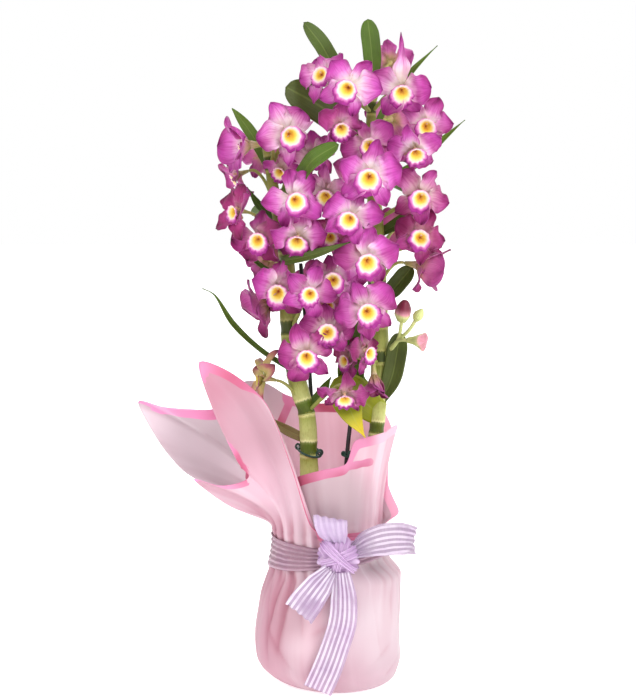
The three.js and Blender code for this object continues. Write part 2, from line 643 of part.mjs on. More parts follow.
// Loops and tails: points along the middle of the ribbon, its width at each, and the way its width runs.
const STRIPS = {
  right: {
    line: [[22, -66, 138], [38, -72, 148], [58, -70, 152], [76, -60, 149], [79, -54, 146], [70, -52, 145],
      [52, -56, 146], [36, -59, 144], [24, -62, 138]],
    widths: [12, 24, 30, 26, 15, 25, 28, 22, 12],
    across: [0.12, 0, 1],
  },
  upper: {
    line: [[8, -68, 146], [4, -76, 158], [2, -76, 168], [1, -70, 171], [1, -65, 164], [6, -64, 148]],
    widths: [16, 26, 30, 30, 26, 14],
    across: [1, 0, -0.2],
  },
  lower: {
    line: [[2, -72, 122], [-12, -80, 106], [-24, -83, 90], [-27, -80, 85], [-24, -76, 90], [-10, -74, 108],
      [2, -70, 124]],
    widths: [14, 26, 30, 30, 28, 24, 12],
    across: [0.75, 0, -0.65],
  },
  tail: {
    line: [[12, -71, 120], [14, -74, 98], [13, -76, 76], [6, -76, 52], [-1, -75, 32], [-10, -74, 11]],
    widths: [16, 24, 26, 26, 27, 27],
    across: [1, 0, 0.12],
  },
};

function stripBody({ line, widths, across }) {
  const rings = framesAlong(line.map(point), point(across)).map(({ p, side, out }, i) =>
    [[1, -1], [1, 1], [-1, 1], [-1, -1]].map(([u, v]) =>
      p.clone().addScaledVector(out, (u * widths[i]) / 2).addScaledVector(side, (v * RIBBON) / 2)),
  );
  return loft(rings);
}

function addRibbon() {
  addMesh("ribbon", fused([bandBody(), knotBody(), ...Object.values(STRIPS).map(stripBody)]), FINISH.ribbon);
}

addPot();
addBark();
addStakes();
addClips();
addCanes();
addBlooms();
addWrap();
addRibbon();

export default object;
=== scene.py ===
"""A gift-wrapped dendrobium orchid in flower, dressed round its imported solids.

The tables are in millimetres, and each mesh is scaled to metres when it becomes a piece.
"""

import math
import random

import bmesh
import bpy
from mathutils import Matrix, Vector
from mathutils.kdtree import KDTree


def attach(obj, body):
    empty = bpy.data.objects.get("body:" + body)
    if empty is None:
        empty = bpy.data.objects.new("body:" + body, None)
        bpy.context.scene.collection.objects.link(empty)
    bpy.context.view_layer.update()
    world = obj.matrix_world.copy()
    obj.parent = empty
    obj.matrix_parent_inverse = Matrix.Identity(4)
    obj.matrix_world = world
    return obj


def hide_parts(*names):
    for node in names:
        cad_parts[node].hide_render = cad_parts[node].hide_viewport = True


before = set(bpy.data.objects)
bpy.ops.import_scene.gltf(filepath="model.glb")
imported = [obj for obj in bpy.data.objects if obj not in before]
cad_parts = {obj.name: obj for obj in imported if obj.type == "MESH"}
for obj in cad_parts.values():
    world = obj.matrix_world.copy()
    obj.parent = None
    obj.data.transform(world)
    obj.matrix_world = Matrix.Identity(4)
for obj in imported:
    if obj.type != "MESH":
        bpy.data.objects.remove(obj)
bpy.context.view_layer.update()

MM = 0.001
FULL_TURN = 2 * math.pi
# In millimetres from the film's edge: its printed border, what counts as near it, and the tone of the rest.
BORDER = 9
NEAR_EDGE = 15
NO_BORDER = 20

# ---- the part's own tables, in millimetres ---------------------------------------------------------

# Each cane: its line from the bark up, its radius along it, and the spacing of its joints.
CANES = {
    "left": {
        "line": [(-15, -5, 102), (-16, -5, 155), (-18, -5, 210), (-20, -4, 256), (-26, -2, 277), (-33, 0, 304),
                 (-37, 0, 340), (-38, 0, 370), (-39, 0, 400), (-46, 3, 440), (-54, 6, 484), (-59, 8, 512)],
        "radii": [8.5, 8.5, 9, 8.5, 8, 8.5, 8.5, 8, 7, 6, 5, 3.5],
        "spacing": 39,
    },
    "right": {
        "line": [(29, 8, 102), (34, 8, 150), (42, 10, 200), (47, 13, 240), (50, 18, 306), (47, 22, 384),
                 (45, 22, 446), (42, 18, 508), (41, 16, 540), (43, 14, 566)],
        "radii": [6.5, 6.5, 7, 7.5, 8.5, 9, 9, 6.5, 5.5, 3.5],
        "spacing": 34,
    },
}
STEM_FOOT = 70

# Each leaf: its cane, the height of its root, its midrib beyond the cane, its width, the way its face
# looks, its green from 0 for dark olive to 1 for lime, and how deep its channel is.
LEAVES = [
    ("right", 560, [(7, 12, 584), (-8, 5, 606), (-23, 0, 624)], 18, (0.4, -1, 0.3), 0.35, 0.35),
    ("right", 562, [(42, 15, 582), (40, 14, 606), (37, 13, 629)], 18, (0.2, -1, 0), 0.5, 0.35),
    ("right", 520, [(20, 16, 530), (-10, 10, 549), (-40, 2, 565)], 33, (0.1, -1, 0.3), 0.25, 0.15),
    ("right", 515, [(54, 30, 545), (78, 34, 580), (105, 34, 607)], 8, (-0.5, -0.9, 0.3), 0.6, 0.3),
    ("right", 478, [(78, 34, 490), (108, 32, 516), (131, 26, 536)], 9, (-0.4, -1, 0.3), 0.65, 0.3),
    ("left", 478, [(-60, 20, 500), (-74, 24, 524), (-91, 20, 547)], 13, (0.3, -1, 0.1), 0.6, 0.3),
    ("left", 460, [(-26, -26, 479), (-13, -54, 495), (9, -66, 508)], 18, (-0.3, -0.9, 0.3), 0.5, 0.25),
    ("left", 436, [(-64, 16, 452), (-77, 10, 472)], 9, (0.5, -0.8, 0.2), 0.45, 0.4),
    ("right", 425, [(76, 24, 444), (84, 22, 458)], 13, (-0.5, -0.8, 0.2), 0.4, 0.4),
    ("right", 358, [(62, 34, 372), (82, 34, 396)], 18, (-0.3, -0.9, 0.1), 0.3, 0.3),
    ("left", 296, [(-66, -6, 319), (-90, -10, 343), (-107, -14, 371), (-118, -14, 377)], 8, (0.5, -0.6, 0.7),
     0.5, 0.4),
    ("right", 262, [(61, 8, 290), (69, 10, 334)], 20, (-0.2, -1, 0.1), 0.25, 0.3),
    ("right", 270, [(22, -4, 292), (27, -9, 322), (38, -12, 350)], 26, (0.1, -1, 0.1), 0.6, 0.4),
    ("left", 262, [(-8, 2, 274), (3, 8, 292)], 10, (0, -1, 0.3), 0.55, 0.4),
    ("right", 256, [(18, -14, 281), (21, -38, 264), (34, -44, 240)], 33, (0, -1, 0.1), 1, 0.25),
    ("left", 232, [(-42, -6, 244), (-56, -14, 256)], 10, (-0.3, -0.9, 0.2), 0, 0.4),
    ("right", 446, [(52, 60, 468), (66, 86, 480), (84, 92, 470)], 20, (-0.2, 0.6, 0.8), 0.4, 0.25),
    ("left", 384, [(-62, -8, 397), (-86, -10, 420)], 5, (0.4, -0.8, 0.3), 0.4, 0.4),
    ("left", 396, [(-44, -16, 401), (-17, -34, 408), (20, -46, 421)], 10, (0.1, -1, 0.4), 0.3, 0.4),
    ("right", 432, [(32, -4, 426), (20, -16, 415)], 18, (-0.2, -1, 0.3), 0.5, 0.3),
    ("left", 404, [(-46, 40, 430), (-58, 72, 452), (-76, 92, 446)], 20, (0.1, 0.6, 0.8), 0.4, 0.25),
    ("right", 320, [(40, 58, 348), (30, 84, 372), (20, 96, 366)], 18, (-0.2, 0.6, 0.8), 0.4, 0.25),
]

# Each bloom: its cane, the middle of its lip, the turn to the right, the tilt up and the roll to the left
# of the way it faces in degrees, and its size, where 1 is 52 mm across.
BLOOMS = [
    ("top_front", "right", (16, -48, 558), -8, 0, -30, 0.98),
    ("top_left", "right", (-8, -22, 574), -35, 20, 30, 0.9),
    ("top_right", "right", (67, -35, 555), 5, -20, -4, 1),
    ("top_back", "right", (62, 36, 590), 160, 20, 0, 0.8),
    ("right_1", "right", (91, -18, 526), 15, 8, -20, 0.95),
    ("right_2", "right", (80, -42, 499), 5, -30, 12, 0.88),
    ("right_3", "right", (85, -30, 460), 10, 0, -26, 0.95),
    ("right_4", "right", (86, -18, 424), 15, 20, -28, 0.95),
    ("right_5", "right", (92, 0, 392), 74, -14, 4, 1.12),
    ("middle_1", "right", (36, -60, 477), 0, 0, -14, 1.1),
    ("middle_2", "right", (38, -30, 508), -6, 8, 22, 0.9),
    ("middle_3", "right", (12, -40, 522), 14, -18, 0, 0.82),
    ("middle_4", "right", (18, -56, 440), -8, -6, -22, 0.95),
    ("middle_5", "right", (36, -50, 401), 8, -4, 8, 1.05),
    ("middle_6", "right", (36, -52, 356), -6, 4, 32, 1),
    ("middle_7", "right", (39, -42, 318), 45, 0, 10, 0.75),
    ("middle_8", "right", (42, -20, 289), 20, -82, 0, 0.85),
    ("middle_9", "right", (14, -30, 310), -50, 0, 0, 0.7),
    ("centre_1", "left", (-34, -35, 517), 8, 0, 30, 1.02),
    ("centre_2", "left", (-12, -20, 498), 10, 0, 15, 0.8),
    ("centre_3", "left", (-46, -14, 484), -25, -20, -20, 0.68),
    ("centre_4", "left", (-29, -52, 457), 12, 0, 18, 0.98),
    ("centre_5", "left", (-3, -36, 461), -10, -6, -10, 0.85),
    ("centre_6", "left", (-29, -38, 419), -4, -28, -8, 0.95),
    ("centre_7", "left", (2, -14, 424), 0, 0, 0, 0.75),
    ("centre_8", "left", (4, -42, 385), -10, 16, 12, 0.92),
    ("centre_9", "left", (-17, -58, 373), 6, 4, -24, 0.85),
    ("centre_10", "left", (1, -8, 360), 5, 0, 0, 0.6),
    ("centre_11", "left", (-1, -47, 338), 0, 22, 0, 0.95),
    ("centre_12", "left", (-20, -60, 315), -10, -6, 20, 0.95),
    ("centre_13", "left", (15, -56, 276), 5, -38, 0, 0.8),
    ("left_1", "left", (-82, -18, 504), -74, -8, 6, 1.2),
    ("left_2", "left", (-90, 14, 478), -75, -24, 10, 0.9),
    ("left_3", "left", (-90, -18, 447), -50, 5, -16, 0.95),
    ("left_4", "left", (-66, -26, 421), -20, 0, 14, 0.92),
    ("left_5", "left", (-47, -40, 373), -15, 0, 8, 1),
    ("left_6", "left", (-64, -12, 354), -78, -18, 20, 1.15),
    ("left_faded", "left", (-67, -16, 290), -78, 8, 4, 0.95),
    ("back_1", "right", (66, 72, 536), 150, 0, 0, 0.95),
    ("back_2", "left", (-64, 58, 500), 200, 0, 0, 0.95),
    ("back_3", "right", (30, 80, 482), 185, 0, 0, 1),
    ("back_4", "left", (-26, 60, 452), 170, 0, 0, 0.95),
    ("back_5", "right", (78, 74, 430), 155, -5, 0, 0.95),
    ("back_6", "left", (-60, 54, 400), 205, 0, 0, 0.9),
    ("back_7", "right", (22, 76, 420), 180, 0, 0, 0.95),
    ("back_8", "left", (-14, 54, 372), 165, 0, 0, 0.9),
]
LIP_MIDDLE = Vector((0, -4, 9))
OVARY_TIP = Vector((0, -1, -11))

# Each bud: its cane, the height of its stalk's root, the stalk beyond the cane, its radius, its colour from
# 0 for green to 1 for maroon, and how far it has opened.
BUDS = [
    ("right", 306, [(66, 4, 326), (70, -5, 348)], 8, 1, 0.1),
    ("right", 306, [(66, 4, 326), (77, -6, 338), (83, -10, 348)], 4.8, 0, 0),
    ("right", 306, [(66, 4, 326), (72, -6, 328), (77, -10, 328)], 7, 0.55, 1),
]

STAKES = {
    "left": [(-11, 11, 111), (-16, 11, 271), (-26, 11, 400)],
    "right": [(13, 2, 111), (18, 2, 214), (24, 4, 270), (27, 8, 302)],
}
STAKE_RADIUS, WIRE_RADIUS = 2, 1.05

# The collar of the wrap: for each angle round the neck, in degrees from +X, the point that the outer
# sheet's edge reaches, if a flap stands there, and the point that the inner sheet's edge reaches.
COLLAR = [
    (0, (68, -4, 164), (64, 2, 240)),
    (10, (59, 16, 186), (56, 18, 226)),
    (20, (61, 33, 222), (55, 30, 230)),
    (30, (62, 41, 240), (51, 44, 246)),
    (41, (54, 55, 254), (42, 57, 254)),
    (54, (42, 70, 232), (30, 66, 258)),
    (68, (24, 80, 204), (16, 70, 258)),
    (83, None, (2, 72, 258)),
    (98, None, (-12, 72, 258)),
    (112, None, (-26, 70, 262)),
    (125, None, (-42, 64, 268)),
    (138, None, (-62, 56, 280)),
    (148, None, (-84, 46, 282)),
    (157, None, (-108, 36, 258)),
    (165, None, (-135, 26, 258)),
    (173, None, (-160, 12, 262)),
    (181, None, (-181, 0, 268)),
    (189, (-92, -28, 173), (-158, -10, 229)),
    (196, (-125, -42, 201), (-133, -22, 203)),
    (203, (-103, -52, 197), (-100, -17, 186)),
    (209, (-85, -59, 200), (-66, -27, 182)),
    (214, (-72, -66, 208), (-50, -35, 183)),
    (219, (-82, -73, 224), (-43, -37, 187)),
    (225, (-104, -70, 270), (-39, -39, 191)),
    (231, (-118, -60, 312), (-36, -40, 195)),
    (238, (-88, -62, 302), (-34, -42, 199)),
    (245, (-56, -66, 274), (-31, -46, 203)),
    (252, (-34, -68, 218), (-26, -51, 206)),
    (260, (-17, -61, 162), (-18, -55, 209)),
    (269, None, (-5, -60, 213)),
    (281, None, (16, -56, 218)),
    (293, None, (24, -46, 237)),
    (306, None, (40, -38, 241)),
    (324, None, (54, -27, 244)),
    (342, (60, -24, 160), (65, -13, 248)),
]

# The ribbon's loops and tails: the middle of each, its width along it, and the way its width runs.
STRIPS = {
    "right_loop": {
        "line": [(22, -66, 138), (38, -72, 148), (58, -70, 152), (76, -60, 149), (79, -54, 146), (70, -52, 145),
                 (52, -56, 146), (36, -59, 144), (24, -62, 138)],
        "widths": [12, 24, 30, 29, 24, 26, 28, 22, 12],
        "across": (0.12, 0, 1),
    },
    "upper_loop": {
        "line": [(8, -68, 146), (4, -76, 158), (2, -76, 168), (1, -70, 171), (1, -65, 164), (6, -64, 148)],
        "widths": [16, 26, 30, 30, 26, 14],
        "across": (1, 0, -0.2),
    },
    "lower_loop": {
        "line": [(2, -72, 122), (-12, -80, 106), (-24, -83, 90), (-27, -80, 85), (-24, -76, 90), (-10, -74, 108),
                 (2, -70, 124)],
        "widths": [14, 26, 30, 30, 28, 24, 12],
        "across": (0.75, 0, -0.65),
    },
    "tail": {
        "line": [(12, -71, 120), (14, -74, 98), (13, -76, 76), (6, -76, 52), (-1, -75, 32), (-10, -74, 11)],
        "widths": [16, 24, 26, 26, 27, 27],
        "across": (1, 0, 0.12),
    },
}

# ---- camera, light and floor -----------------------------------------------------------------------


def set_up_studio():
    """The camera, soft studio light, and a pale floor under a pale sky."""
    scene = bpy.context.scene
    scene.view_settings.view_transform = "Standard"

    lens = bpy.data.cameras.new("camera")
    lens.sensor_width = 36
    lens.lens = 73.08
    camera = bpy.data.objects.new("camera", lens)
    camera.location = (-0.0095, -1.34486, 0.43566)
    camera.rotation_euler = (math.radians(85), 0, 0)
    scene.collection.objects.link(camera)
    scene.camera = camera

    middle = Vector((0, 0, 0.3))
    lights = [
        ("key_light", (1.1, -1.5, 1.5), 1.1, 24),
        ("fill_light", (-1.7, -1.1, 0.9), 1.4, 9),
        ("back_light", (0.3, 1.7, 1.5), 1.2, 16),
    ]
    for name, place, size, power in lights:
        light = bpy.data.lights.new(name, "AREA")
        light.shape = "DISK"
        light.size = size
        light.energy = power
        lamp = bpy.data.objects.new(name, light)
        lamp.location = place
        lamp.rotation_euler = (middle - Vector(place)).to_track_quat("-Z", "Y").to_euler()
        scene.collection.objects.link(lamp)

    world = bpy.data.worlds.new("sky")
    world.use_nodes = True
    sky = world.node_tree.nodes["Background"]
    sky.inputs["Color"].default_value = (1, 1, 1, 1)
    sky.inputs["Strength"].default_value = 1.0
    scene.world = world

    bm = bmesh.new()
    bmesh.ops.create_grid(bm, x_segments=1, y_segments=1, size=30)
    mesh = bpy.data.meshes.new("floor")
    bm.to_mesh(mesh)
    bm.free()
    floor = bpy.data.objects.new("floor", mesh)
    paper = plain_finish("floor_paper", "#fefdfd", 0.9, Emission_Color=(1, 1, 1, 1), Emission_Strength=0.6)
    mesh.materials.append(paper)
    scene.collection.objects.link(floor)


# ---- making finishes -------------------------------------------------------------------------------


def colour(code):
    """A web colour as Blender's linear red, green, blue and alpha."""
    parts = [int(code[i : i + 2], 16) / 255 for i in (1, 3, 5)]
    return (*[c / 12.92 if c <= 0.04045 else ((c + 0.055) / 1.055) ** 2.4 for c in parts], 1)


class Finish:
    """A material, its shade so far, and the few kinds of node that the finishes are made of."""

    def __init__(self, name, roughness, **shine):
        self.material = bpy.data.materials.new(name)
        self.material.use_nodes = True
        self.tree = self.material.node_tree
        self.shader = self.tree.nodes["Principled BSDF"]
        self.set(self.shader, Roughness=roughness, **shine)
        self.shade = None

    def set(self, node, **inputs):
        for key, value in inputs.items():
            socket = node.inputs[int(key[1:]) if key[1:].isdigit() else key.replace("_", " ")]
            if isinstance(value, bpy.types.NodeSocket):
                self.tree.links.new(value, socket)
            else:
                socket.default_value = value
        return node

    def node(self, kind, settings=(), **inputs):
        made = self.tree.nodes.new("ShaderNode" + kind)
        for key, value in dict(settings).items():
            setattr(made, key, value)
        return self.set(made, **inputs)

    def maths(self, operation, a, b=0.5, c=0.5):
        return self.node("Math", {"operation": operation}, _0=a, _1=b, _2=c).outputs[0]

    def times(self, a, b):
        return self.maths("MULTIPLY", a, b)

    def uv(self, axis):
        both = self.node("UVMap", {"uv_map": "UVMap"}).outputs["UV"]
        return self.node("SeparateXYZ", _0=both).outputs[axis]

    def across(self):
        return self.uv("X")

    def along(self):
        return self.uv("Y")

    def from_middle(self):
        """0 on the middle line of a piece and 1 on its edges."""
        return self.maths("ABSOLUTE", self.maths("MULTIPLY_ADD", self.across(), 2, -1))

    def place(self):
        return self.node("TexCoord").outputs["Object"]

    def at(self, axis):
        return self.node("SeparateXYZ", _0=self.place()).outputs[axis]

    def tone(self):
        return self.node("Attribute", {"attribute_name": "tone"}).outputs["Fac"]

    def stretched(self, x, y, z=1):
        """The piece's UVs with its tone as the third number, scaled."""
        parts = self.node("CombineXYZ", X=self.across(), Y=self.along(), Z=self.tone())
        return self.node("Mapping", Vector=parts.outputs[0], Scale=(x, y, z)).outputs[0]

    def wrapped(self, x, y):
        """Scaled UVs for a skin that closes on itself, so that its pattern meets where it does."""
        turn = self.times(self.across(), FULL_TURN)
        parts = self.node("CombineXYZ", X=self.maths("COSINE", turn), Y=self.maths("SINE", turn), Z=self.along())
        wide = x / FULL_TURN
        return self.node("Mapping", Vector=parts.outputs[0], Scale=(wide, wide, y)).outputs[0]

    def noise(self, vector, scale=1.0, detail=2.0, roughness=0.5):
        return self.node("TexNoise", Vector=vector, Scale=scale, Detail=detail, Roughness=roughness).outputs["Fac"]

    def blurred(self, value, noise, reach):
        """The value, wandering by half the reach to either side."""
        return self.maths("MULTIPLY_ADD", noise, reach, self.maths("SUBTRACT", value, reach / 2))

    def fade(self, value, low, high, start=0.0, end=1.0):
        """The value's climb from low to high, as a smooth climb from start to end."""
        smooth = {"interpolation_type": "SMOOTHSTEP"}
        return self.node("MapRange", smooth, _0=value, _1=low, _2=high, _3=start, _4=end).outputs[0]

    def ramp(self, value, stops):
        made = self.node("ValToRGB", Fac=value)
        band = made.color_ramp
        while len(band.elements) < len(stops):
            band.elements.new(0.5)
        for element, (place, code) in zip(band.elements, stops):
            element.position = place
            element.color = colour(code)
        return made.outputs["Color"]

    def mix(self, share, a, b, blend="MIX"):
        a, b = (colour(c) if isinstance(c, str) else c for c in (a, b))
        return self.node("Mix", {"data_type": "RGBA", "blend_type": blend}, _0=share, _6=a, _7=b).outputs[2]

    def lay(self, share, code):
        """Covers a share of the shade so far with a colour."""
        self.shade = self.mix(share, self.shade, code)

    def stain(self, share, code):
        """Multiplies a share of the shade so far by a colour."""
        self.lay(share, self.mix(1.0, self.shade, code, "MULTIPLY"))

    def finished(self, height, distance, strength, glow=0):
        """The material in its shade, with bumps. A share of it, if any, glows where light comes from behind."""
        bump = self.node("Bump", Height=height, Distance=distance, Strength=strength)
        self.set(self.shader, Base_Color=self.shade, Normal=bump.outputs["Normal"])
        if glow:
            behind = self.node("BsdfTranslucent", Color=self.shade)
            both = self.node("MixShader", _0=glow, _1=self.shader.outputs[0], _2=behind.outputs[0])
            self.set(self.tree.nodes["Material Output"], Surface=both.outputs[0])
        return self.material


def plain_finish(name, code, roughness, **shine):
    made = Finish(name, roughness, **shine)
    mottle = made.noise(made.place(), 40, 3)
    made.set(made.shader, Base_Color=made.mix(mottle, code, made.mix(0.08, code, "#ffffff")))
    return made.material


def tepal_finish(name, stops, pale_stops, crimson_stops, edge, marks_and_shade=1.0):
    """Petal flesh: white at its foot, deepening to its tip and its edges, with fine veins along it. Its deepest tone
    takes crimson colours, which also paint the shade of blooms in shade. Blooms inside the spray and low on it get
    a painted shade, towards crimson-brown, which grows with the share for marks and shade."""
    made = Finish(name, 0.5, Specular_IOR_Level=0.3, Sheen_Weight=0.12, Sheen_Roughness=0.5)
    along = made.blurred(made.along(), made.noise(made.stretched(3, 2, 19), 1, 3), 0.36)
    tone = made.tone()
    made.shade = made.ramp(along, pale_stops)
    made.lay(made.fade(tone, 0.0, 0.45), made.ramp(along, stops))
    # The deepest tone takes crimson colours, which also paint the shade of blooms that lie in shade.
    made.lay(made.fade(tone, 0.55, 1.0), made.ramp(along, crimson_stops))
    made.lay(made.times(made.fade(made.from_middle(), 0.6, 1.0, 0, 0.6), made.fade(along, 0.3, 0.65)), edge)
    veins = made.noise(made.stretched(30, 1.6, 7), 1, 2)
    veined = made.times(made.fade(veins, 0.42, 0.75, 0, 0.6 * marks_and_shade), made.fade(along, 0.25, 0.5, 0.4, 1))
    made.stain(veined, "#d070b4")
    made.stain(made.fade(made.noise(made.place(), 46, 2), 0.44, 0.72, 0, 0.5 * marks_and_shade), "#c86ca0")
    # Painted shade deep in the spray: darker towards the back, less so high up and at the far left, and again low
    # down.
    inside = made.fade(made.at("Y"), -0.055, -0.005, 0, 0.7 * marks_and_shade)
    inside = made.times(inside, made.fade(made.at("Z"), 0.45, 0.56, 1, 0.3))
    made.stain(made.times(inside, made.fade(made.at("X"), -0.075, -0.04, 0.25, 1)), "#c0807c")
    made.stain(made.fade(made.at("Z"), 0.4, 0.3, 0, 0.5 * marks_and_shade), "#c48888")
    return made.finished(veins, 0.0012, 0.6, 0.33)


def lip_finish(name, stops):
    """The lip, coloured from its throat to its frill, which is widest below."""
    made = Finish(name, 0.5, Specular_IOR_Level=0.3, Sheen_Weight=0.15, Sheen_Roughness=0.5)
    above = made.maths("COSINE", made.times(made.across(), FULL_TURN))
    along = made.blurred(made.along(), made.noise(made.stretched(9, 5, 13), 1, 3), 0.2)
    along = made.maths("MULTIPLY_ADD", made.times(above, made.fade(along, 0.55, 1.0)), -0.16, along)
    made.shade = made.ramp(along, stops)
    veins = made.noise(made.stretched(46, 2, 7), 1, 2)
    made.stain(made.fade(veins, 0.5, 0.8, 0, 0.25), "#e8c890")
    return made.finished(veins, 0.0006, 0.6, 0.4)


def stem_finish(name, stops):
    """Green flesh coloured by its tone, with streaks along it."""
    made = Finish(name, 0.45, Specular_IOR_Level=0.4)
    made.shade = made.ramp(made.tone(), stops)
    streaks = made.noise(made.stretched(24, 1.5, 0.5), 1, 3)
    made.stain(made.fade(streaks, 0.4, 0.75, 0, 0.45), "#a9b070")
    made.stain(made.fade(made.noise(made.place(), 160, 3), 0.58, 0.75, 0, 0.35), "#b08858")
    return made.finished(streaks, 0.0005, 0.5)


def cane_finish(name):
    """A jointed cane: its tone is the millimetres above the joint below, over the joint's spacing."""
    made = Finish(name, 0.45, Specular_IOR_Level=0.35)
    made.shade = made.ramp(made.blurred(made.tone(), made.noise(made.stretched(40, 30, 0), 1, 3), 0.1), [
        (0.0, "#8a8a34"), (0.04, "#4c5c04"), (0.24, "#526606"), (0.3, "#70803a"), (0.34, "#e4e2a4"),
        (0.4, "#bfc47c"), (0.65, "#b8be70"), (0.9, "#9ca24e"), (0.97, "#dad892"), (1.0, "#888834"),
    ])
    made.stain(made.fade(made.at("Z"), 0.25, 0.32, 0, 0.85), "#b2b080")
    made.stain(made.fade(made.noise(made.place(), 90, 4, 0.6), 0.45, 0.8, 0, 0.5), "#c4ac72")
    fibres = made.noise(made.stretched(70, 3, 9), 1, 2)
    made.stain(made.fade(fibres, 0.45, 0.8, 0, 0.35), "#9a9c52")
    return made.finished(fibres, 0.0008, 0.6)


def leaf_finish(name):
    """A leathery leaf: its tone runs from dry olive-brown through green to lime, with veins along it."""
    made = Finish(name, 0.42, Specular_IOR_Level=0.35)
    tone = made.tone()
    made.shade = made.ramp(tone, [
        (0.0, "#7c6a40"), (0.2, "#535a28"), (0.45, "#46620e"), (0.65, "#5e7a1e"), (1.0, "#8c9418"),
    ])
    made.lay(made.times(made.fade(tone, 0.7, 1), made.fade(made.along(), 0.7, 1.0)), "#dcc028")
    veins = made.noise(made.stretched(46, 1.2, 5), 1, 2)
    made.stain(made.fade(veins, 0.45, 0.7, 0, 0.4), "#a8b878")
    made.lay(made.fade(made.from_middle(), 0.0, 0.1, 0.22, 0), "#a3b45c")
    made.stain(made.fade(made.noise(made.place(), 55, 3), 0.4, 0.75, 0, 0.3), "#b5a56a")
    return made.finished(veins, 0.0007, 0.6, 0.12)


def film_finish(name, left, right, tint, border, lit_and_shaded_spots, glow):
    """Frosted wrapping film, darker at the left, a painted shade on the side away from the key light, and tinted
    round the pot. Its paler and greyer spots, each a place, a reach, a share and a colour, are painted light and
    painted shade. Its tone is the distance in millimetres from an edge with a printed border, or 20 and how far the
    film is pushed in, which is painted as shade in its creases. Streaks along it are painted shade and highlights,
    and its border is mottled by a painted sheen and lit at the right by a painted light."""
    made = Finish(name, 0.4, Specular_IOR_Level=0.35, Sheen_Weight=0.1, Sheen_Roughness=0.4)
    over, tone, place = made.at("X"), made.tone(), made.place()
    # Painted shade: the film is darker at the left, the side away from the key light.
    made.shade = made.mix(made.fade(over, -0.07, 0.06), left, right)
    made.stain(1.0, made.ramp(made.across(), tint))
    made.stain(made.fade(made.noise(place, 11, 2, 0.4), 0.4, 0.62, 0, 0.45), "#f0d0dc")
    # Painted shade and painted highlights: streaks along the film, as of long pleats, stronger higher up.
    streaks = made.noise(made.wrapped(26, 1.1), 1, 3)
    drawn = made.fade(made.at("Z"), 0.06, 0.15, 0.3, 1)
    made.stain(made.times(made.fade(streaks, 0.5, 0.72, 0, 0.4), drawn), "#eaccd8")
    made.lay(made.times(made.fade(streaks, 0.48, 0.32, 0, 0.5), drawn), "#f5edf2")
    # Painted light and painted shade: spots made paler where the film looks lit, and greyer where it looks shaded.
    for middle, reach, share, code in lit_and_shaded_spots:
        gap = made.node("VectorMath", {"operation": "DISTANCE"}, _0=place, _1=middle).outputs["Value"]
        made.lay(made.fade(gap, reach, 0.3 * reach, 0, share), code)
    # Painted shade in the creases and gathers, deeper where the film is pushed in further.
    made.stain(made.fade(tone, NO_BORDER + 0.6, NO_BORDER + 4, 0, 0.6), "#dc98ac")
    # The printed border, mottled by a painted sheen, paler at the far left, and lighter at the right, a painted light
    # on its shaded edge.
    border = made.mix(made.fade(made.noise(place, 15, 2), 0.44, 0.62, 0, 0.6), border, "#f4b4dc")
    border = made.mix(made.fade(over, -0.085, -0.13, 0, 0.8), border, "#f4b4dc")
    border = made.mix(made.fade(over, 0.036, 0.05, 0, 0.9), border, "#fcd4e4")
    made.lay(made.fade(tone, BORDER - 0.3, BORDER + 0.5, 1, 0), border)
    return made.finished(made.noise(place, 900, 2), 0.0002, 0.2, glow)


def ribbon_finish(name, sheer, satin, thin, thick):
    """Sheer ribbon with satin stripes that show in places as a painted sheen, and how much of the light the two of
    them stop.
    """
    made = Finish(name, 0.3, Specular_IOR_Level=0.5, Sheen_Weight=0.3, Sheen_Roughness=0.3)
    wave = made.maths("SINE", made.times(made.across(), FULL_TURN * 6))
    # Painted sheen: the satin stripes show fully only in places, where they would catch the light, and stop more
    # light there.
    satin_glint = made.fade(made.noise(made.place(), 34, 2), 0.3, 0.5, 0.25, 1)
    stripe = made.times(made.fade(wave, -0.25, 0.5), satin_glint)
    threads = made.noise(made.stretched(1, 900, 1), 1, 1)
    made.shade = made.mix(stripe, sheer, satin)
    made.lay(made.fade(threads, 0.4, 0.7, 0, 0.15), "#ffffff")
    made.stain(made.fade(made.noise(made.place(), 60, 2), 0.4, 0.7, 0, 0.4), "#dcc4e2")
    made.set(made.shader, Alpha=made.fade(stripe, 0, 1, thin, thick))
    return made.finished(threads, 0.0003, 0.3, 0.25)


def bark_finish(name):
    made = Finish(name, 0.9, Specular_IOR_Level=0.2)
    grain = made.noise(made.place(), 260, 5, 0.65)
    made.shade = made.ramp(grain, [(0.3, "#241710"), (0.5, "#4c3424"), (0.72, "#7c5b3e")])
    return made.finished(grain, 0.002, 0.8)


def plastic_finish(name, code, light, rough):
    made = Finish(name, rough, Specular_IOR_Level=0.5)
    scuffs = made.noise(made.place(), 120, 4, 0.6)
    made.shade = made.mix(made.fade(scuffs, 0.45, 0.8, 0, 0.5), code, light)
    return made.finished(scuffs, 0.0004, 0.4)


# ---- making pieces ---------------------------------------------------------------------------------


def lerp(a, b, t):
    return a + (b - a) * t


def climb(low, high, x):
    """0 below low and 1 above high, with a smooth climb between."""
    t = min(1.0, max(0.0, (x - low) / (high - low)))
    return t * t * (3 - 2 * t)


def table_at(rows, x):
    """The value at x in rows of (x, value), straight between them."""
    if x <= rows[0][0]:
        return rows[0][1]
    for (x0, y0), (x1, y1) in zip(rows, rows[1:]):
        if x <= x1:
            return lerp(y0, y1, (x - x0) / (x1 - x0))
    return rows[-1][1]


def polar(radius, turn, height=0.0, shift=0.0):
    """The point at a radius and a turn round Z in radians, shifted along X."""
    return Vector((radius * math.cos(turn) + shift, radius * math.sin(turn), height))


def length_of(line):
    return sum((b - a).length for a, b in zip(line, line[1:]))


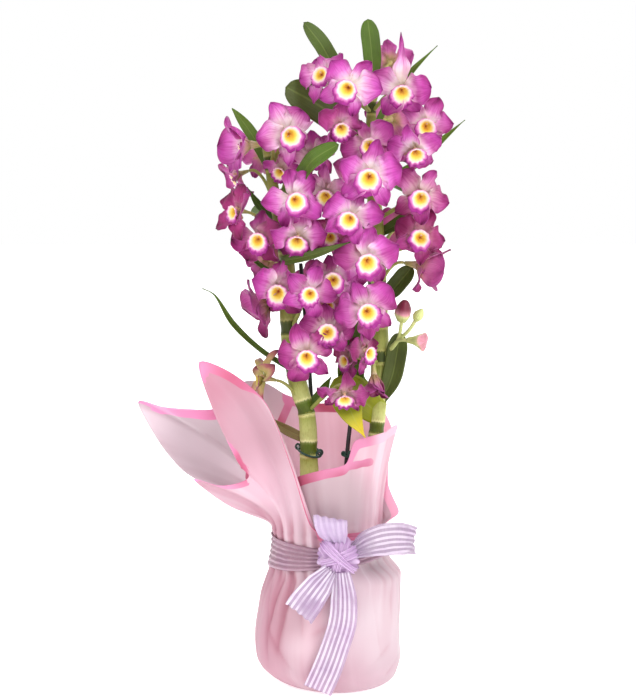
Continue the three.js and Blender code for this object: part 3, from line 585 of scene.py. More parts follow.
def between(b, c, leave, arrive, t):
    """The point at t on a smooth curve from b to c that leaves and arrives along the vectors given."""
    return (
        b * (2 * t**3 - 3 * t**2 + 1) + leave * (t**3 - 2 * t**2 + t)
        + c * (3 * t**2 - 2 * t**3) + arrive * (t**3 - t**2)
    )


def evenly(line, steps):
    """The line as steps + 1 points evenly spaced along it."""
    lengths = [0.0]
    for a, b in zip(line, line[1:]):
        lengths.append(lengths[-1] + (b - a).length)
    points, i = [], 0
    for step in range(steps + 1):
        wanted = lengths[-1] * step / steps
        while i < len(line) - 2 and lengths[i + 1] < wanted:
            i += 1
        span = lengths[i + 1] - lengths[i]
        points.append(line[i].lerp(line[i + 1], (wanted - lengths[i]) / span if span else 0))
    return points


def spline(points, steps, fine=24):
    """A smooth curve through the points, as steps + 1 points evenly spaced along it."""
    p = [Vector(q) for q in points]
    p = [p[0] * 2 - p[1], *p, p[-1] * 2 - p[-2]]
    line = []
    for a, b, c, d in zip(p, p[1:], p[2:], p[3:]):
        t0, t1, t2 = (math.sqrt((end - start).length) for start, end in ((a, b), (b, c), (c, d)))
        leave = ((b - a) / t0 - (c - a) / (t0 + t1) + (c - b) / t1) * t1
        arrive = ((c - b) / t1 - (d - b) / (t1 + t2) + (d - c) / t2) * t1
        line += [between(b, c, leave, arrive, i / fine) for i in range(fine)]
    return evenly([*line, p[-2]], steps)


def frames_along(line, face):
    """At each point, the point and two directions square to the line, the second as near to face as can be."""
    made = []
    for i, point in enumerate(line):
        along = (line[min(i + 1, len(line) - 1)] - line[max(i - 1, 0)]).normalized()
        side = along.cross(face).normalized()
        made.append((point, side, side.cross(along)))
    return made


class Modelling:
    """A mesh in the making, with UVs and a number at each vertex, its tone, for its finish to read."""

    def __init__(self):
        self.bm = bmesh.new()
        self.uv = self.bm.loops.layers.uv.new("UVMap")
        self.tone = self.bm.verts.layers.float.new("tone")

    def grid(self, columns, rows, place, tone=0.5, finish=0):
        """Adds a grid whose point at (u, v) goes to place(u, v). Points that meet are merged."""
        made = bmesh.ops.create_grid(self.bm, x_segments=columns, y_segments=rows, size=0.5)["verts"]
        faces = list(dict.fromkeys(face for vert in made for face in vert.link_faces))
        for face in faces:
            face.material_index = finish
            face.smooth = True
            for loop in face.loops:
                loop[self.uv].uv = (loop.vert.co.x + 0.5, loop.vert.co.y + 0.5)
        for vert in made:
            u, v = vert.co.x + 0.5, vert.co.y + 0.5
            vert.co = place(u, v)
            vert[self.tone] = tone(u, v) if callable(tone) else tone
        bmesh.ops.remove_doubles(self.bm, verts=made, dist=1e-3)
        return [face for face in faces if face.is_valid]

    def wall(self, faces, thickness, back=None):
        """Gives faces a thickness, with another finish on the back where one is named. A point that a sharp
        fold throws far out is drawn back among its neighbours."""
        old_faces, old_verts = set(self.bm.faces), set(self.bm.verts)
        bmesh.ops.solidify(self.bm, geom=faces, thickness=thickness)
        skin = KDTree(len(old_verts))
        for i, vert in enumerate(old_verts):
            skin.insert(vert.co, i)
        skin.balance()
        for vert in self.bm.verts:
            if vert not in old_verts and skin.find(vert.co)[2] > 2 * thickness:
                near = [edge.other_vert(vert).co for edge in vert.link_edges]
                vert.co = sum(near, Vector()) / len(near)
        for face in self.bm.faces:
            if face not in old_faces:
                face.smooth = True
                if back is not None:
                    face.material_index = back

    def tube(self, line, radius, sides, tone=0.5, finish=0, face=(0.13, -1, 0.11)):
        """Adds a round skin along the line. Its radius is a function of the row and the turn round it."""
        frames = frames_along(line, Vector(face))
        rows = len(line) - 1

        def place(u, v):
            row = round(v * rows)
            point, side, out = frames[row]
            turn = FULL_TURN * u
            return point + (out * math.sin(turn) - side * math.cos(turn)) * radius(row, turn)

        self.grid(sides, rows, place, tone, finish)

    def rod(self, line, girth, sides, **rest):
        """Adds a tube with flat ends."""
        ends = (0, len(line) + 1)
        self.tube([line[0], *line, line[-1]], lambda i, turn: 0 if i in ends else girth(i), sides, **rest)

    def turned(self, profile, sides):
        """Adds a closed solid turned about Z from (radius, height) points."""
        rows = len(profile) - 1

        def place(u, v):
            radius, height = profile[round(v * rows)]
            return polar(radius, FULL_TURN * u, height)

        self.grid(sides, rows, place)

    def piece(self, name, slot, finishes, *nodes):
        """Ends the making: the mesh is scaled to metres, and stands for the named nodes."""
        bmesh.ops.scale(self.bm, vec=(MM, MM, MM), verts=self.bm.verts)
        mesh = bpy.data.meshes.new(name)
        self.bm.to_mesh(mesh)
        self.bm.free()
        for finish in finishes:
            mesh.materials.append(finish)
        made = bpy.data.objects.new(name, mesh)
        bpy.context.scene.collection.objects.link(made)
        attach(made, "root")
        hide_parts(*nodes)
        return made


# ---- the blooms ------------------------------------------------------------------------------------

# Each kind of tepal: length, half width at its widest, where that is along it, half width at its foot,
# lean towards the front and how much it curls forwards along its length in radians, and its waved edge.
SEPAL = {"length": 28.5, "half": 9.8, "widest": 0.46, "foot": 3.4, "lean": 0.08, "curl": -0.3, "frill": 2.4}
PETAL = {"length": 28, "half": 14.4, "widest": 0.55, "foot": 3.2, "lean": 0.22, "curl": -0.25, "frill": 4.0}
TEPALS = [(90, SEPAL), (234, SEPAL), (306, SEPAL), (162, PETAL), (18, PETAL)]
TEPAL_WALL = 0.35
TEPAL_GRID = (16, 26)
LIP_GRID = (56, 16)
COLUMN_ROWS, OVARY_ROWS = 14, 16
# Where each finish of a bloom stands in its list of them.
FRONT, BACK, LIP, LIP_BACK, COLUMN, OVARY = range(6)
BLOOM_SEED, LEAF_SEED, CHIP_SEED = 1000, 300, 7

# How deep the colour of a bloom is, where it isn't left to chance, from 0 for pale to 1 for crimson. Deep values
# also paint shade: blooms that lie in shade, as at the left, are given crimson.
BLOOM_TONE_AND_SHADE = {
    "left_2": 0.8, "left_3": 0.95, "left_4": 0.8, "left_6": 0.75, "centre_9": 0.6, "centre_1": 0.15,
    "centre_5": 0.1, "middle_1": 0.5, "right_1": 0.3, "top_front": 0.35, "middle_7": 0.7, "middle_8": 0.6,
    "top_right": 0.3, "top_left": 0.35, "right_3": 0.3, "right_4": 0.55, "right_5": 0.5, "middle_3": 0.75,
}
# How some blooms differ: a longer uppermost tepal, tepals that sweep forwards by an angle, a smaller lip.
MOODS = {
    "top_right": {"crown": 1.7},
    "right_5": {"sweep": 0.85, "lip": 0.45},
    "middle_8": {"sweep": 1.05, "lip": 0.4},
    "left_1": {"sweep": 0.85, "lip": 0.45},
    "left_2": {"sweep": 0.5, "lip": 0.8},
    "left_3": {"sweep": 0.4, "lip": 0.8},
    "left_6": {"sweep": 0.75, "lip": 0.5},
    "left_faded": {"sweep": 0.3, "lip": 0.7},
}


def tepal_half(form, v, point):
    """Half the width of a tepal at v along it: a narrow foot, a full middle, and a tip from round to pointed."""
    widest = form["widest"]
    if v < widest:
        return lerp(form["foot"], form["half"], climb(0, 1, v / widest) ** 0.7)
    x = (v - widest) / (1 - widest)
    return form["half"] * max(0.0, 1 - x ** lerp(2.3, 1.5, point)) ** lerp(0.6, 1.0, point)


def add_tepal(model, turn, form, chance, sweep, limp, tone, stretch):
    """One tepal, bent by its form, by chance, and by how far the bloom sweeps forwards or hangs limp."""
    calm = max(limp, min(1, sweep / 0.85))
    length = form["length"] * chance.uniform(0.93, 1.1) * stretch
    widen = chance.uniform(0.86, 1.15) * (1 - 0.3 * limp)
    lean = form["lean"] + chance.uniform(-0.3, 0.35) + sweep
    curl = form["curl"] + chance.uniform(-0.8, 0.55) - 0.5 * sweep
    cup = chance.uniform(-0.15, 0.42) + limp * 0.5
    roll = chance.choice([0, 0, -0.9, 0.9]) * chance.uniform(0.4, 1)
    twist = chance.uniform(-0.5, 0.5) * (1 + limp)
    frill = form["frill"] * chance.uniform(0.7, 1.35) * (1 - 0.7 * calm)
    phases = [chance.uniform(0, FULL_TURN) for _ in range(4)]
    point = chance.uniform(0, 0.8) * (1 - calm)
    turn = math.radians(turn + chance.uniform(-11, 11))
    tone = min(1.0, max(0.0, tone + chance.uniform(-0.14, 0.14)))
    out, side, front = polar(1, turn), polar(1, turn + math.pi / 2), Vector((0, 0, 1))
    curl = curl if abs(curl) >= 0.01 else 0.01

    def place(u, v):
        q = 1 - 2 * u
        half = tepal_half(form, v, point) * widen * (1 - 0.25 * limp)
        if stretch > 1:
            half *= 1 - 0.68 * climb(0.3, 0.6, v)
        # The middle line is an arc of a circle.
        bend = lean + curl * v
        reach = length * (math.sin(bend) - math.sin(lean)) / curl
        lift = length * (math.cos(lean) - math.cos(bend)) / curl
        wave = math.sin(9 * v + phases[0] + (1.7 if q > 0 else 0)) + 0.6 * math.sin(20 * v + phases[1] + 2 * q)
        # How far the blade stands off it: cupped and frilled, one side rolled, quilted, and grooved in the middle.
        height = cup * half * q * q + frill * abs(q) ** 2.2 * wave * math.sin(math.pi * min(1, v * 0.85 + 0.15))
        height += half * max(0, q if roll > 0 else -q) ** 2.5 * abs(roll) * climb(0.1, 0.5, v)
        height += 0.8 * math.sin(7 * v + 4 * q + phases[2]) * climb(0.15, 0.6, v)
        height -= 0.9 * (1 - v) * math.exp(-((q / 0.14) ** 2)) * climb(0.1, 0.35, v)
        # How far out to the side, with an edge that isn't quite even, and then the twist of the tip.
        across = half * q * (1 + 0.11 * (1 - calm) * math.sin(12 * v + phases[2] + (2 if q > 0 else 0)))
        across *= 1 - 0.3 * abs(roll) * max(0, q if roll > 0 else -q) ** 2
        angle = twist * v
        shift = across * math.cos(angle) - height * math.sin(angle) + 1.4 * math.sin(2 * v + phases[3]) * v
        height = across * math.sin(angle) + height * math.cos(angle)
        over = front * math.cos(bend) - out * math.sin(bend)
        return out * (1.5 + reach) + side * shift + front * (lift - 0.3) + over * height

    model.wall(model.grid(*TEPAL_GRID, place, tone, FRONT), TEPAL_WALL, BACK)


def add_lip(model, chance, size, limp, tone):
    """The trumpet of the lip, seen into from the front, with a frilled rim that is longest below."""
    lobes = chance.choice([7, 9, 11, 13])
    phases = [chance.uniform(0, FULL_TURN) for _ in range(3)]
    frill = chance.uniform(0.7, 1.2) * (1 - 0.6 * limp)

    def place(u, v):
        turn = FULL_TURN * u
        below = 0.5 - 0.5 * math.cos(turn)
        radius = (3.4 * climb(0, 0.2, v) + 7.3 * v**1.35) * lerp(0.9, 1.04, below)
        radius += 3.4 * below**2 * climb(0.72, 1, v) - 0.8 * (1 - below) ** 2 * climb(0.5, 1, v)
        # The frill grows towards the edge, and its waves differ in length.
        edge = v**3
        ruffle = math.sin(lobes * turn + phases[0]) + 0.7 * math.sin((2 * lobes - 3) * turn + phases[1])
        radius = (radius + (0.2 + 0.6 * below) * frill * edge * ruffle) * size
        depth = 2.8 + 7.0 * (1 - (1 - v) ** 1.7) - 2.4 * edge * below
        depth += (0.5 + below) * frill * edge * math.sin(lobes * turn + phases[0] + 1.4)
        # The mouth hangs lower than the throat.
        dip = lerp(-1.2, -4, min(1, v * 1.4)) * size
        return Vector((-radius * math.sin(turn), dip + radius * math.cos(turn), depth))

    model.wall(model.grid(*LIP_GRID, place, tone, LIP_BACK), TEPAL_WALL, LIP)


def bloom_place(row):
    """Where a bloom that faces +Z with +Y up goes, and its size."""
    _, _, lip, right, up, roll, size = row
    matrix = (
        Matrix.Rotation(math.radians(right), 4, "Z")
        @ Matrix.Rotation(math.radians(90 - up), 4, "X")
        @ Matrix.Rotation(math.radians(roll), 4, "Z")
        @ Matrix.Scale(size, 4)
    )
    return Matrix.Translation(Vector(lip) - matrix @ LIP_MIDDLE) @ matrix


def make_bloom(number, row, finishes):
    name = row[0]
    chance = random.Random(BLOOM_SEED + number)
    limp = 1.0 if name.endswith("faded") else 0.0
    depth = BLOOM_TONE_AND_SHADE.get(name, chance.uniform(0.25, 0.7))
    mood = MOODS.get(name, {})
    sweep = mood.get("sweep", 0)
    model = Modelling()
    for turn, form in TEPALS:
        add_tepal(model, turn, form, chance, sweep, limp, depth, mood.get("crown", 1) if turn == 90 else 1)
    add_lip(model, chance, mood.get("lip", 1), limp, depth)

    column = [(0, -0.2, 0.5), (0, 0.6, 2), (0, 1.5, 3.6), (0, 1.8, 4.8), (0, 1.5, 5.6), (0, 1.2, 6)]
    swell = [(0, 0), (0.08, 1.6), (0.6, 1.2), (0.74, 1.3), (0.88, 1.5), (0.96, 1.0), (1, 0)]
    plump = lambda i, turn: table_at(swell, i / COLUMN_ROWS)
    model.tube(spline(column, COLUMN_ROWS), plump, 12, 0.2, COLUMN)

    ovary = [(0, 0, 1.4), (0, -0.3, -3), (0, -0.6, -7), OVARY_TIP]
    girth = [(0, 0), (0.04, 3.0), (0.16, 3.6), (0.4, 2.6), (0.75, 1.9), (0.96, 1.5), (1, 0)]
    ribbed = lambda i, turn: table_at(girth, i / OVARY_ROWS) * (1 + 0.06 * math.cos(6 * turn))
    model.tube(spline(ovary, OVARY_ROWS), ribbed, 18, lambda u, v: lerp(0.75, 0.2, v), OVARY)

    bmesh.ops.transform(model.bm, matrix=bloom_place(row), verts=model.bm.verts)
    model.piece(f"flower_{name}", "faded_bloom" if limp else "bloom", finishes, f"bloom_{name}")


def make_blooms():
    """All the blooms. A tepal's colours run from its foot to its tip, and a lip's from its throat."""
    usual = [
        (0.0, "#f4e8d4"), (0.24, "#fff2fa"), (0.37, "#f8c2ee"), (0.5, "#e682d8"), (0.74, "#d050ba"), (1.0, "#a4288a"),
    ]
    pale = [
        (0.0, "#f6f0e0"), (0.34, "#fff6fc"), (0.5, "#fad0f2"), (0.64, "#ee9ae0"), (0.82, "#d862c6"), (1.0, "#b4369e"),
    ]
    # Crimson for the deepest blooms, partly the painted shade of blooms in shade.
    deep = [
        (0.0, "#e4bca4"), (0.15, "#e4a0bc"), (0.33, "#cc509c"), (0.6, "#ac2a7c"), (0.85, "#8c1c5c"), (1.0, "#701446"),
    ]
    front = tepal_finish("tepal_front", usual, pale, deep, "#9c2074")
    back_usual = [(0.0, "#b8b068"), (0.22, "#dcb49c"), (0.42, "#e490c8"), (0.7, "#d064b2"), (1.0, "#ac3a8e")]
    # The backs' crimson, partly painted shade as well.
    back_deep = [(0.0, "#a09854"), (0.22, "#bc7c80"), (0.5, "#b04884"), (1.0, "#862458")]
    back = tepal_finish("tepal_back", back_usual, back_usual, back_deep, "#c05cb0", 0.5)
    lip = lip_finish("lip", [
        (0.0, "#7c2c14"), (0.05, "#ac5420"), (0.11, "#e0a83c"), (0.2, "#f4d250"), (0.38, "#fbe870"),
        (0.5, "#fcf0a8"), (0.62, "#fbf0d0"), (0.76, "#f8e6ea"), (0.85, "#e890d0"), (1.0, "#ac3094"),
    ])
    lip_back = plain_finish("lip_back", "#efcfe4", 0.5)
    column = plain_finish("column", "#dcb48c", 0.6)
    ovary = stem_finish("ovary", [(0.0, "#8a9a4a"), (0.5, "#b0a26a"), (1.0, "#c89aa8")])
    finishes = [front, back, lip, lip_back, column, ovary]

    dry = [(0.0, "#b8bc60"), (0.35, "#d8d080"), (0.6, "#dcc48c"), (0.8, "#c87c80"), (1.0, "#843050")]
    faded = tepal_finish("tepal_faded", dry, dry, dry, "#a85870", 0.2)
    dry_lip = [(0.0, "#8a6a20"), (0.3, "#d0b83c"), (0.6, "#e0d25a"), (0.8, "#dcc070"), (1.0, "#b0607c")]
    faded_finishes = [faded, faded, lip_finish("lip_faded", dry_lip), faded, column, ovary]
    for number, row in enumerate(BLOOMS):
        make_bloom(number, row, faded_finishes if row[0].endswith("faded") else finishes)


# ---- canes, leaves, stalks and buds ----------------------------------------------------------------

CANE_POINTS = 600
CANE_STEP = 1.25
CANE_SIDES = 30
FOOT_ROWS = 20


def cane_curve(side):
    """The cane's middle line above the bark, evenly spaced."""
    return spline(CANES[side]["line"], CANE_POINTS)


def axis_at(side, height):
    return min(cane_curve(side), key=lambda p: abs(p.z - height))


def cane_radius(radii, share):
    """The radius at a share of the way along, straight between the radii given."""
    place = min(share, 0.9999) * (len(radii) - 1)
    return lerp(radii[int(place)], radii[int(place) + 1], place - int(place))


def make_cane(side, finish):
    cane = CANES[side]
    line = cane_curve(side)
    length, spacing = length_of(line), cane["spacing"]
    rows = int(length / CANE_STEP)
    body = evenly(line, rows)
    foot = Vector((*cane["line"][0][:2], STEM_FOOT))
    start = [foot.lerp(body[0], i / FOOT_ROWS) for i in range(FOOT_ROWS)]
    points = [start[0], *start, *body, body[-1] + (body[-1] - body[-2])]
    # How far each ring is above the first joint, in millimetres.
    heights = [-(body[0] - p).length for p in [start[0], *start]] + [i * length / rows for i in range(rows + 1)]
    heights.append(heights[-1] + CANE_STEP)
    last = len(points) - 1

    def radius(row, turn):
        if row in (0, last):
            return 0
        height = heights[row]
        above = height % spacing if height >= 0 else spacing - 1
        base = cane_radius(cane["radii"], max(0, height) / length)
        # A ring above and below each joint, a narrow neck, the edge of a sheath, furrows and a full middle.
        ring = 0.09 * math.exp(-((above / 1.6) ** 2)) + 0.06 * math.exp(-(((above - spacing) / 1.2) ** 2))
        neck = 0.1 * math.exp(-(((above - 5) / 6) ** 2))
        sheath = 0.03 * (1 - climb(12, 13, above)) * climb(0.5, 2, above)
        furrow = 0.02 * math.sin(7 * turn + 0.02 * height) * climb(14, 20, above)
        swell = 0.03 * math.sin(math.pi * above / spacing)
        return base * (1 + ring - neck + sheath + furrow + swell)

    model = Modelling()
    tone = lambda u, v: (max(0.0, heights[round(v * last)]) % spacing) / spacing
    model.tube(points, radius, CANE_SIDES, tone)
    model.piece(f"stem_{side}", "cane", [finish], f"cane_{side}")


def leaf_half(width, v, green):
    """Half the width of a leaf at v along it. The tip is blunt on a broad leaf, but not on a young lime one."""
    broad = climb(9, 17, width) * (1 - climb(0.8, 1, green))
    slender = 0.3 + 0.7 * math.sin(math.pi * min(1, 0.14 + 0.9 * v)) ** 0.65
    full = lerp(slender, 0.42 + 0.58 * climb(0, 0.5, v), broad)
    x = max(0.0, (v - lerp(0.6, 0.76, broad)) / lerp(0.4, 0.24, broad))
    return width / 2 * full * max(0.0, 1 - x**2) ** lerp(0.9, 0.5, broad)


LEAF_GRID = (12, 44)
LEAF_WALL = 0.7
STALK_ROWS, BUD_ROWS = 16, 20


def add_leaf(model, row, chance):
    """A strap leaf, folded along its midrib, with a slight wave."""
    side, height, points, width, face, green, channel = row
    steps = LEAF_GRID[1]
    line = spline([axis_at(side, height), *points], steps)
    frames = frames_along(line, Vector(face))
    phase = chance.uniform(0, 6)

    def place(u, v):
        point, across, out = frames[round(v * steps)]
        q = 2 * u - 1
        half = leaf_half(width, v, green)
        fold = channel * half * (abs(q) ** 1.3) * (1 - 0.4 * v)
        fold += 0.5 * q * q * math.sin(9 * v + phase + q)
        return point - across * (half * q) + out * fold

    model.wall(model.grid(*LEAF_GRID, place, green), LEAF_WALL)


def make_leaves(side, finish):
    model = Modelling()
    for number, row in enumerate(LEAVES):
        if row[0] == side:
            add_leaf(model, row, random.Random(LEAF_SEED + number))
    model.piece(f"leaves_{side}", "cane", [finish], f"cane_{side}")


def make_stalks(side, finish):
    """Each flower stalk leaves the joint next below its bloom, and meets the ovary from behind."""
    line = cane_curve(side)
    length, spacing = length_of(line), CANES[side]["spacing"]
    joints = [line[round(CANE_POINTS * i * spacing / length)] for i in range(int(length / spacing) + 1)]
    shares = [i / STALK_ROWS for i in range(STALK_ROWS + 1)]
    knee = lambda i: 1 + 0.25 * math.exp(-(((i - 5) / 0.8) ** 2))
    girth = lambda i: lerp(1.9, 1.4, i / STALK_ROWS) * knee(i)
    model = Modelling()
    for row in BLOOMS:
        if row[1] != side:
            continue
        place = bloom_place(row)
        back = (place.to_3x3() @ Vector((0, 0, -1))).normalized()
        end = place @ OVARY_TIP
        lower = [p for p in joints if p.z < end.z - 3]
        joint = lower[-1] if lower else joints[0]
        bend = end + back * min(14, (end - joint).length / 2)
        curve = [joint * (1 - s) ** 2 + bend * 2 * s * (1 - s) + end * s * s for s in shares]
        model.rod(curve, girth, 10, tone=lambda u, v: lerp(0.1, 0.55, v))
    model.piece(f"stalks_{side}", "cane", [finish], f"cane_{side}")


def make_buds(finish):
    """The buds on their stalks. One is open at its tip."""
    closed = [(0, 0), (0.1, 0.55), (0.35, 1.0), (0.6, 0.95), (0.85, 0.5), (0.97, 0.2), (1, 0)]
    flared = [(0, 0), (0.1, 0.4), (0.4, 0.55), (0.7, 0.85), (0.9, 1.2), (0.96, 0.8), (1, 0)]
    model = Modelling()
    for side, height, points, radius, maroon, opened in BUDS:
        stalk = spline([axis_at(side, height), *points], 18)
        model.rod(stalk, lambda i: 1.7, 10, tone=lambda u, v: lerp(0.1, 0.4, v))
        end, along = stalk[-1], (stalk[-1] - stalk[-3]).normalized()
        body = [end + along * (radius * lerp(-0.6, 2.5, i / BUD_ROWS)) for i in range(BUD_ROWS + 1)]
        girth = [(a, lerp(r, wide, opened)) for (a, r), (_, wide) in zip(closed, flared)]

        def folds(i, turn):
            lobes = lerp(0.07, 0.22 * i / BUD_ROWS, opened)
            return radius * table_at(girth, i / BUD_ROWS) * (1 + lobes * math.cos(3 * turn + i * 0.12))

        blush = lambda u, v: lerp(0.25, 0.3 + 0.7 * maroon, climb(lerp(0.2, 0.65, opened), lerp(0.7, 1, opened), v))
        model.tube(body, folds, 20, blush)
    model.piece("buds", "cane", [finish], "cane_right")


def make_canes():
    cane = cane_finish("cane_skin")
    leaf = leaf_finish("leaf_blade")
    stalk = stem_finish("flower_stalk", [(0.0, "#7f8c3a"), (0.5, "#a8a85c"), (1.0, "#c08a8c")])
    bud = stem_finish("bud_skin", [(0.0, "#8a9a40"), (0.35, "#c9cf8a"), (0.6, "#cc8898"), (1.0, "#6e1c34")])
    for side in CANES:
        make_cane(side, cane)
        make_leaves(side, leaf)
        make_stalks(side, stalk)
    make_buds(bud)


# ---- pot, bark, stakes and clips -------------------------------------------------------------------

POT_FOOT = 2.4
POT_SHIFT = Vector((3, 0, 0))
CHIPS = 170


def make_pot():
    """A thin grower's pot with a rolled rim and a drain hole."""
    profile = [
        (7, 0), (39.6, 0), (40.6, 0.4), (41, 1.4), (52, 95), (55.4, 95), (56, 95.6), (56, 103.4), (55.4, 104),
        (51.6, 104), (51, 103.4), (50.8, 94), (39.2, 3.4), (38, 2.5), (7, 2.5), (7, 0),
    ]
    model = Modelling()
    model.turned([(r, z + POT_FOOT) for r, z in profile], 96)
    bmesh.ops.translate(model.bm, vec=POT_SHIFT, verts=model.bm.verts)
    made = model.piece("grower_pot", "pot", [plastic_finish("pot_plastic", "#2a2a2c", "#48484c", 0.45)], "pot")
    made.data.set_sharp_from_angle(angle=math.radians(40))


def make_bark():
    """A mound with loose chips sunk into its top."""
    floor = POT_FOOT + 2.9
    model = Modelling()
    mound = [(0, floor), (38, floor), (48, 90), (46, 93.4), (36, 97), (18, 95), (0, 96)]
    model.turned(mound, 48)
    chance = random.Random(CHIP_SEED)
    for _ in range(CHIPS):
        reach, turn = 44 * math.sqrt(chance.random()), chance.uniform(0, FULL_TURN)
        size = Vector([chance.uniform(5, 13), chance.uniform(3, 8), chance.uniform(2, 4)])
        place = (
            Matrix.Translation(polar(reach, turn, 95 + chance.uniform(-1.5, 2.5)))
            @ Matrix.Rotation(chance.uniform(0, 6.3), 4, "Z")
            @ Matrix.Rotation(chance.uniform(-0.5, 0.5), 4, "X")
            @ Matrix.Diagonal((*size, 1))
        )
        chip = bmesh.ops.create_cube(model.bm, size=1, matrix=place)["verts"]
        for vert in chip:
            vert.co += Vector([chance.uniform(-0.8, 0.8) for _ in range(3)])
        edges = list(dict.fromkeys(edge for vert in chip for edge in vert.link_edges))
        bmesh.ops.bevel(model.bm, geom=edges, offset=0.6, segments=1, profile=0.5, affect="EDGES", material=-1)
    for face in model.bm.faces:
        face.smooth = False
    bmesh.ops.translate(model.bm, vec=POT_SHIFT, verts=model.bm.verts)
    model.piece("bark_chips", "bark", [bark_finish("bark")], "growing_medium")


def make_stakes(finish):
    for side, points in STAKES.items():
        line = spline([(*points[0][:2], STEM_FOOT), *points], 90)
        model = Modelling()
        model.rod(line, lambda i: STAKE_RADIUS * (0.85 if i in (1, len(line)) else 1), 16)
        model.piece(f"rod_{side}", "stake", [finish], f"stake_{side}")


def make_clips(finish):
    """Wire clips: a ring that crosses in front of the left cane, with a curl at each side, and a small one."""
    for name, middle, radius, stretch, curl, droop in (
        ("clip_cane", (-17.5, 2, 220), 11, 1.5, 2.5, 6),
        ("clip_stake", (18.4, 2.1, 216), 3.3, 1, 1.8, 1),
    ):
        centre = Vector(middle)

        def ring(turn, rise):
            x, y = radius * math.cos(turn), radius * stretch * math.sin(turn)
            return centre + Vector((x, y, rise - droop * (x - y / 3) / (2 * radius)))

        def loop(at, way):
            turns = [FULL_TURN * i / 10 for i in range(1, 11)]
            curls = [(way * curl * math.sin(t) * 0.9, -0.12 * curl * t, curl * (1 - math.cos(t))) for t in turns]
            return [at + Vector(step) for step in curls]

        points = loop(ring(math.radians(-38), 0), 1)[::-1]
        points += [ring(math.radians(lerp(-38, -175, i / 12)), 0) for i in range(13)]
        points += loop(points[-1], -1)
        points += [ring(math.radians(lerp(-188, -385, i / 18)), 1.5) for i in range(19)]
        points += loop(points[-1], 1)
        model = Modelling()
        model.rod(spline(points, 360, 6), lambda i: WIRE_RADIUS, 10, face=(0.05, 0.02, 1))
        model.piece(f"wire_{name}", "wire", [finish], name)


def make_fittings():
    make_pot()
    make_bark()
    make_stakes(plastic_finish("stake_coating", "#141416", "#3a3a40", 0.35))
    make_clips(plastic_finish("wire_coating", "#1d4034", "#3c6658", 0.3))


# ---- the wrap --------------------------------------------------------------------------------------

# The outer sheet from the middle of its base to where it leaves the ribbon, as (radius, height, shift to
# the right).
SHEET_PROFILE = [
    (0, 0, 8), (26, 0, 8), (42, 0, 8), (50, 0.7, 8), (58.2, 4.7, 6.2), (65.4, 12.6, 3), (69.6, 20.5, 0.8),
    (70.6, 36, -0.8), (70.2, 52, -0.6), (69.4, 68, 1), (68.4, 84, 2.4), (66.4, 98, 4.8), (64.6, 106, 6),
    (60, 114, 3.6), (56.2, 122, 1.6), (53.4, 132, 0), (53, 139, 0), (54.2, 148, 0),
]
OUTER_FOOT = (54.2, 148, 0)
OUTER_EDGE = (54.5, 152)
INNER_FOOT = (52.6, 156, 0)
INNER_GAP = 1.2
FILM = 0.3
BODY_RADIUS = 68
BODY_ROWS, FLARE_ROWS, SHEET_COLUMNS = 84, 56, 288


def collar_point(angle, column, plain):
    """The edge of a sheet at an angle in degrees, on a smooth line through the collar's rows."""
    count = len(COLLAR)
    angle %= 360
    i = max(k for k in range(count) if COLLAR[k][0] <= angle)
    span = (COLLAR[(i + 1) % count][0] - COLLAR[i][0]) % 360
    t = (angle - COLLAR[i][0]) / span

    def point(k):
        row = COLLAR[k % count]
        if row[column]:
            return Vector(row[column])
        return polar(plain[0], math.radians(row[0]), plain[1])

    a, b, c, d = (point(i + k) for k in (-1, 0, 1, 2))
    return between(b, c, (c - a) * 0.4, (d - b) * 0.4, t)


def pleat(angle):
    """The gathers round the neck, from 0 on a ridge to 1 in a valley, closer together at the left."""
    a = math.radians(angle)
    wave = math.sin(23 * a + 1.9 * math.sin(3 * a + 1) + 1.2 * math.sin(5 * a + 2.2))
    return (0.5 - 0.5 * wave) ** 1.6 * (0.75 + 0.25 * math.sin(2 * a + 0.4))


def soft_fold(angle):
    """Wide soft folds down the body, from 0 to 1."""
    a = math.radians(angle)
    wave = math.sin(9 * a + 1.4 * math.sin(2 * a) + 0.8 * math.sin(4 * a + 1))
    return (0.5 - 0.5 * wave) ** 1.3


# Creases pressed into the body: from (angle, height) to (angle, height), depth and width in millimetres.
CREASES = [
    (222, 116, 214, 62, 2.0, 2.4), (229, 118, 232, 84, 1.8, 1.8), (235, 116, 226, 40, 1.8, 3.0),
    (205, 112, 216, 30, 1.5, 3.2), (244, 112, 250, 52, 1.4, 3.4), (213, 60, 244, 22, 1.1, 3.4),
    (256, 60, 292, 84, 0.8, 3.0), (302, 104, 316, 40, 0.7, 2.6), (326, 96, 334, 50, 0.5, 2.6),
    (296, 24, 330, 44, 0.7, 2.6), (320, 14, 345, 30, 1.0, 2.4), (270, 30, 296, 12, 0.7, 2.8),
    (190, 104, 196, 20, 1.6, 3.6), (170, 112, 160, 40, 1.6, 3.0), (140, 110, 150, 30, 1.4, 3.4),
    (110, 108, 118, 40, 1.6, 3.2), (84, 112, 70, 44, 1.6, 3.0), (50, 110, 58, 30, 1.4, 3.4),
    (30, 104, 18, 50, 1.4, 3.2), (2, 108, 8, 30, 1.5, 3.4), (352, 100, 344, 56, 1.2, 3.2),
    (100, 40, 140, 16, 1.0, 3.6), (20, 30, 60, 14, 1.0, 3.6), (160, 24, 196, 14, 1.0, 3.2),
]


def off_by(angle, middle):
    """How far an angle is past another, from -180 to 180 degrees."""
    return (angle - middle + 180) % 360 - 180


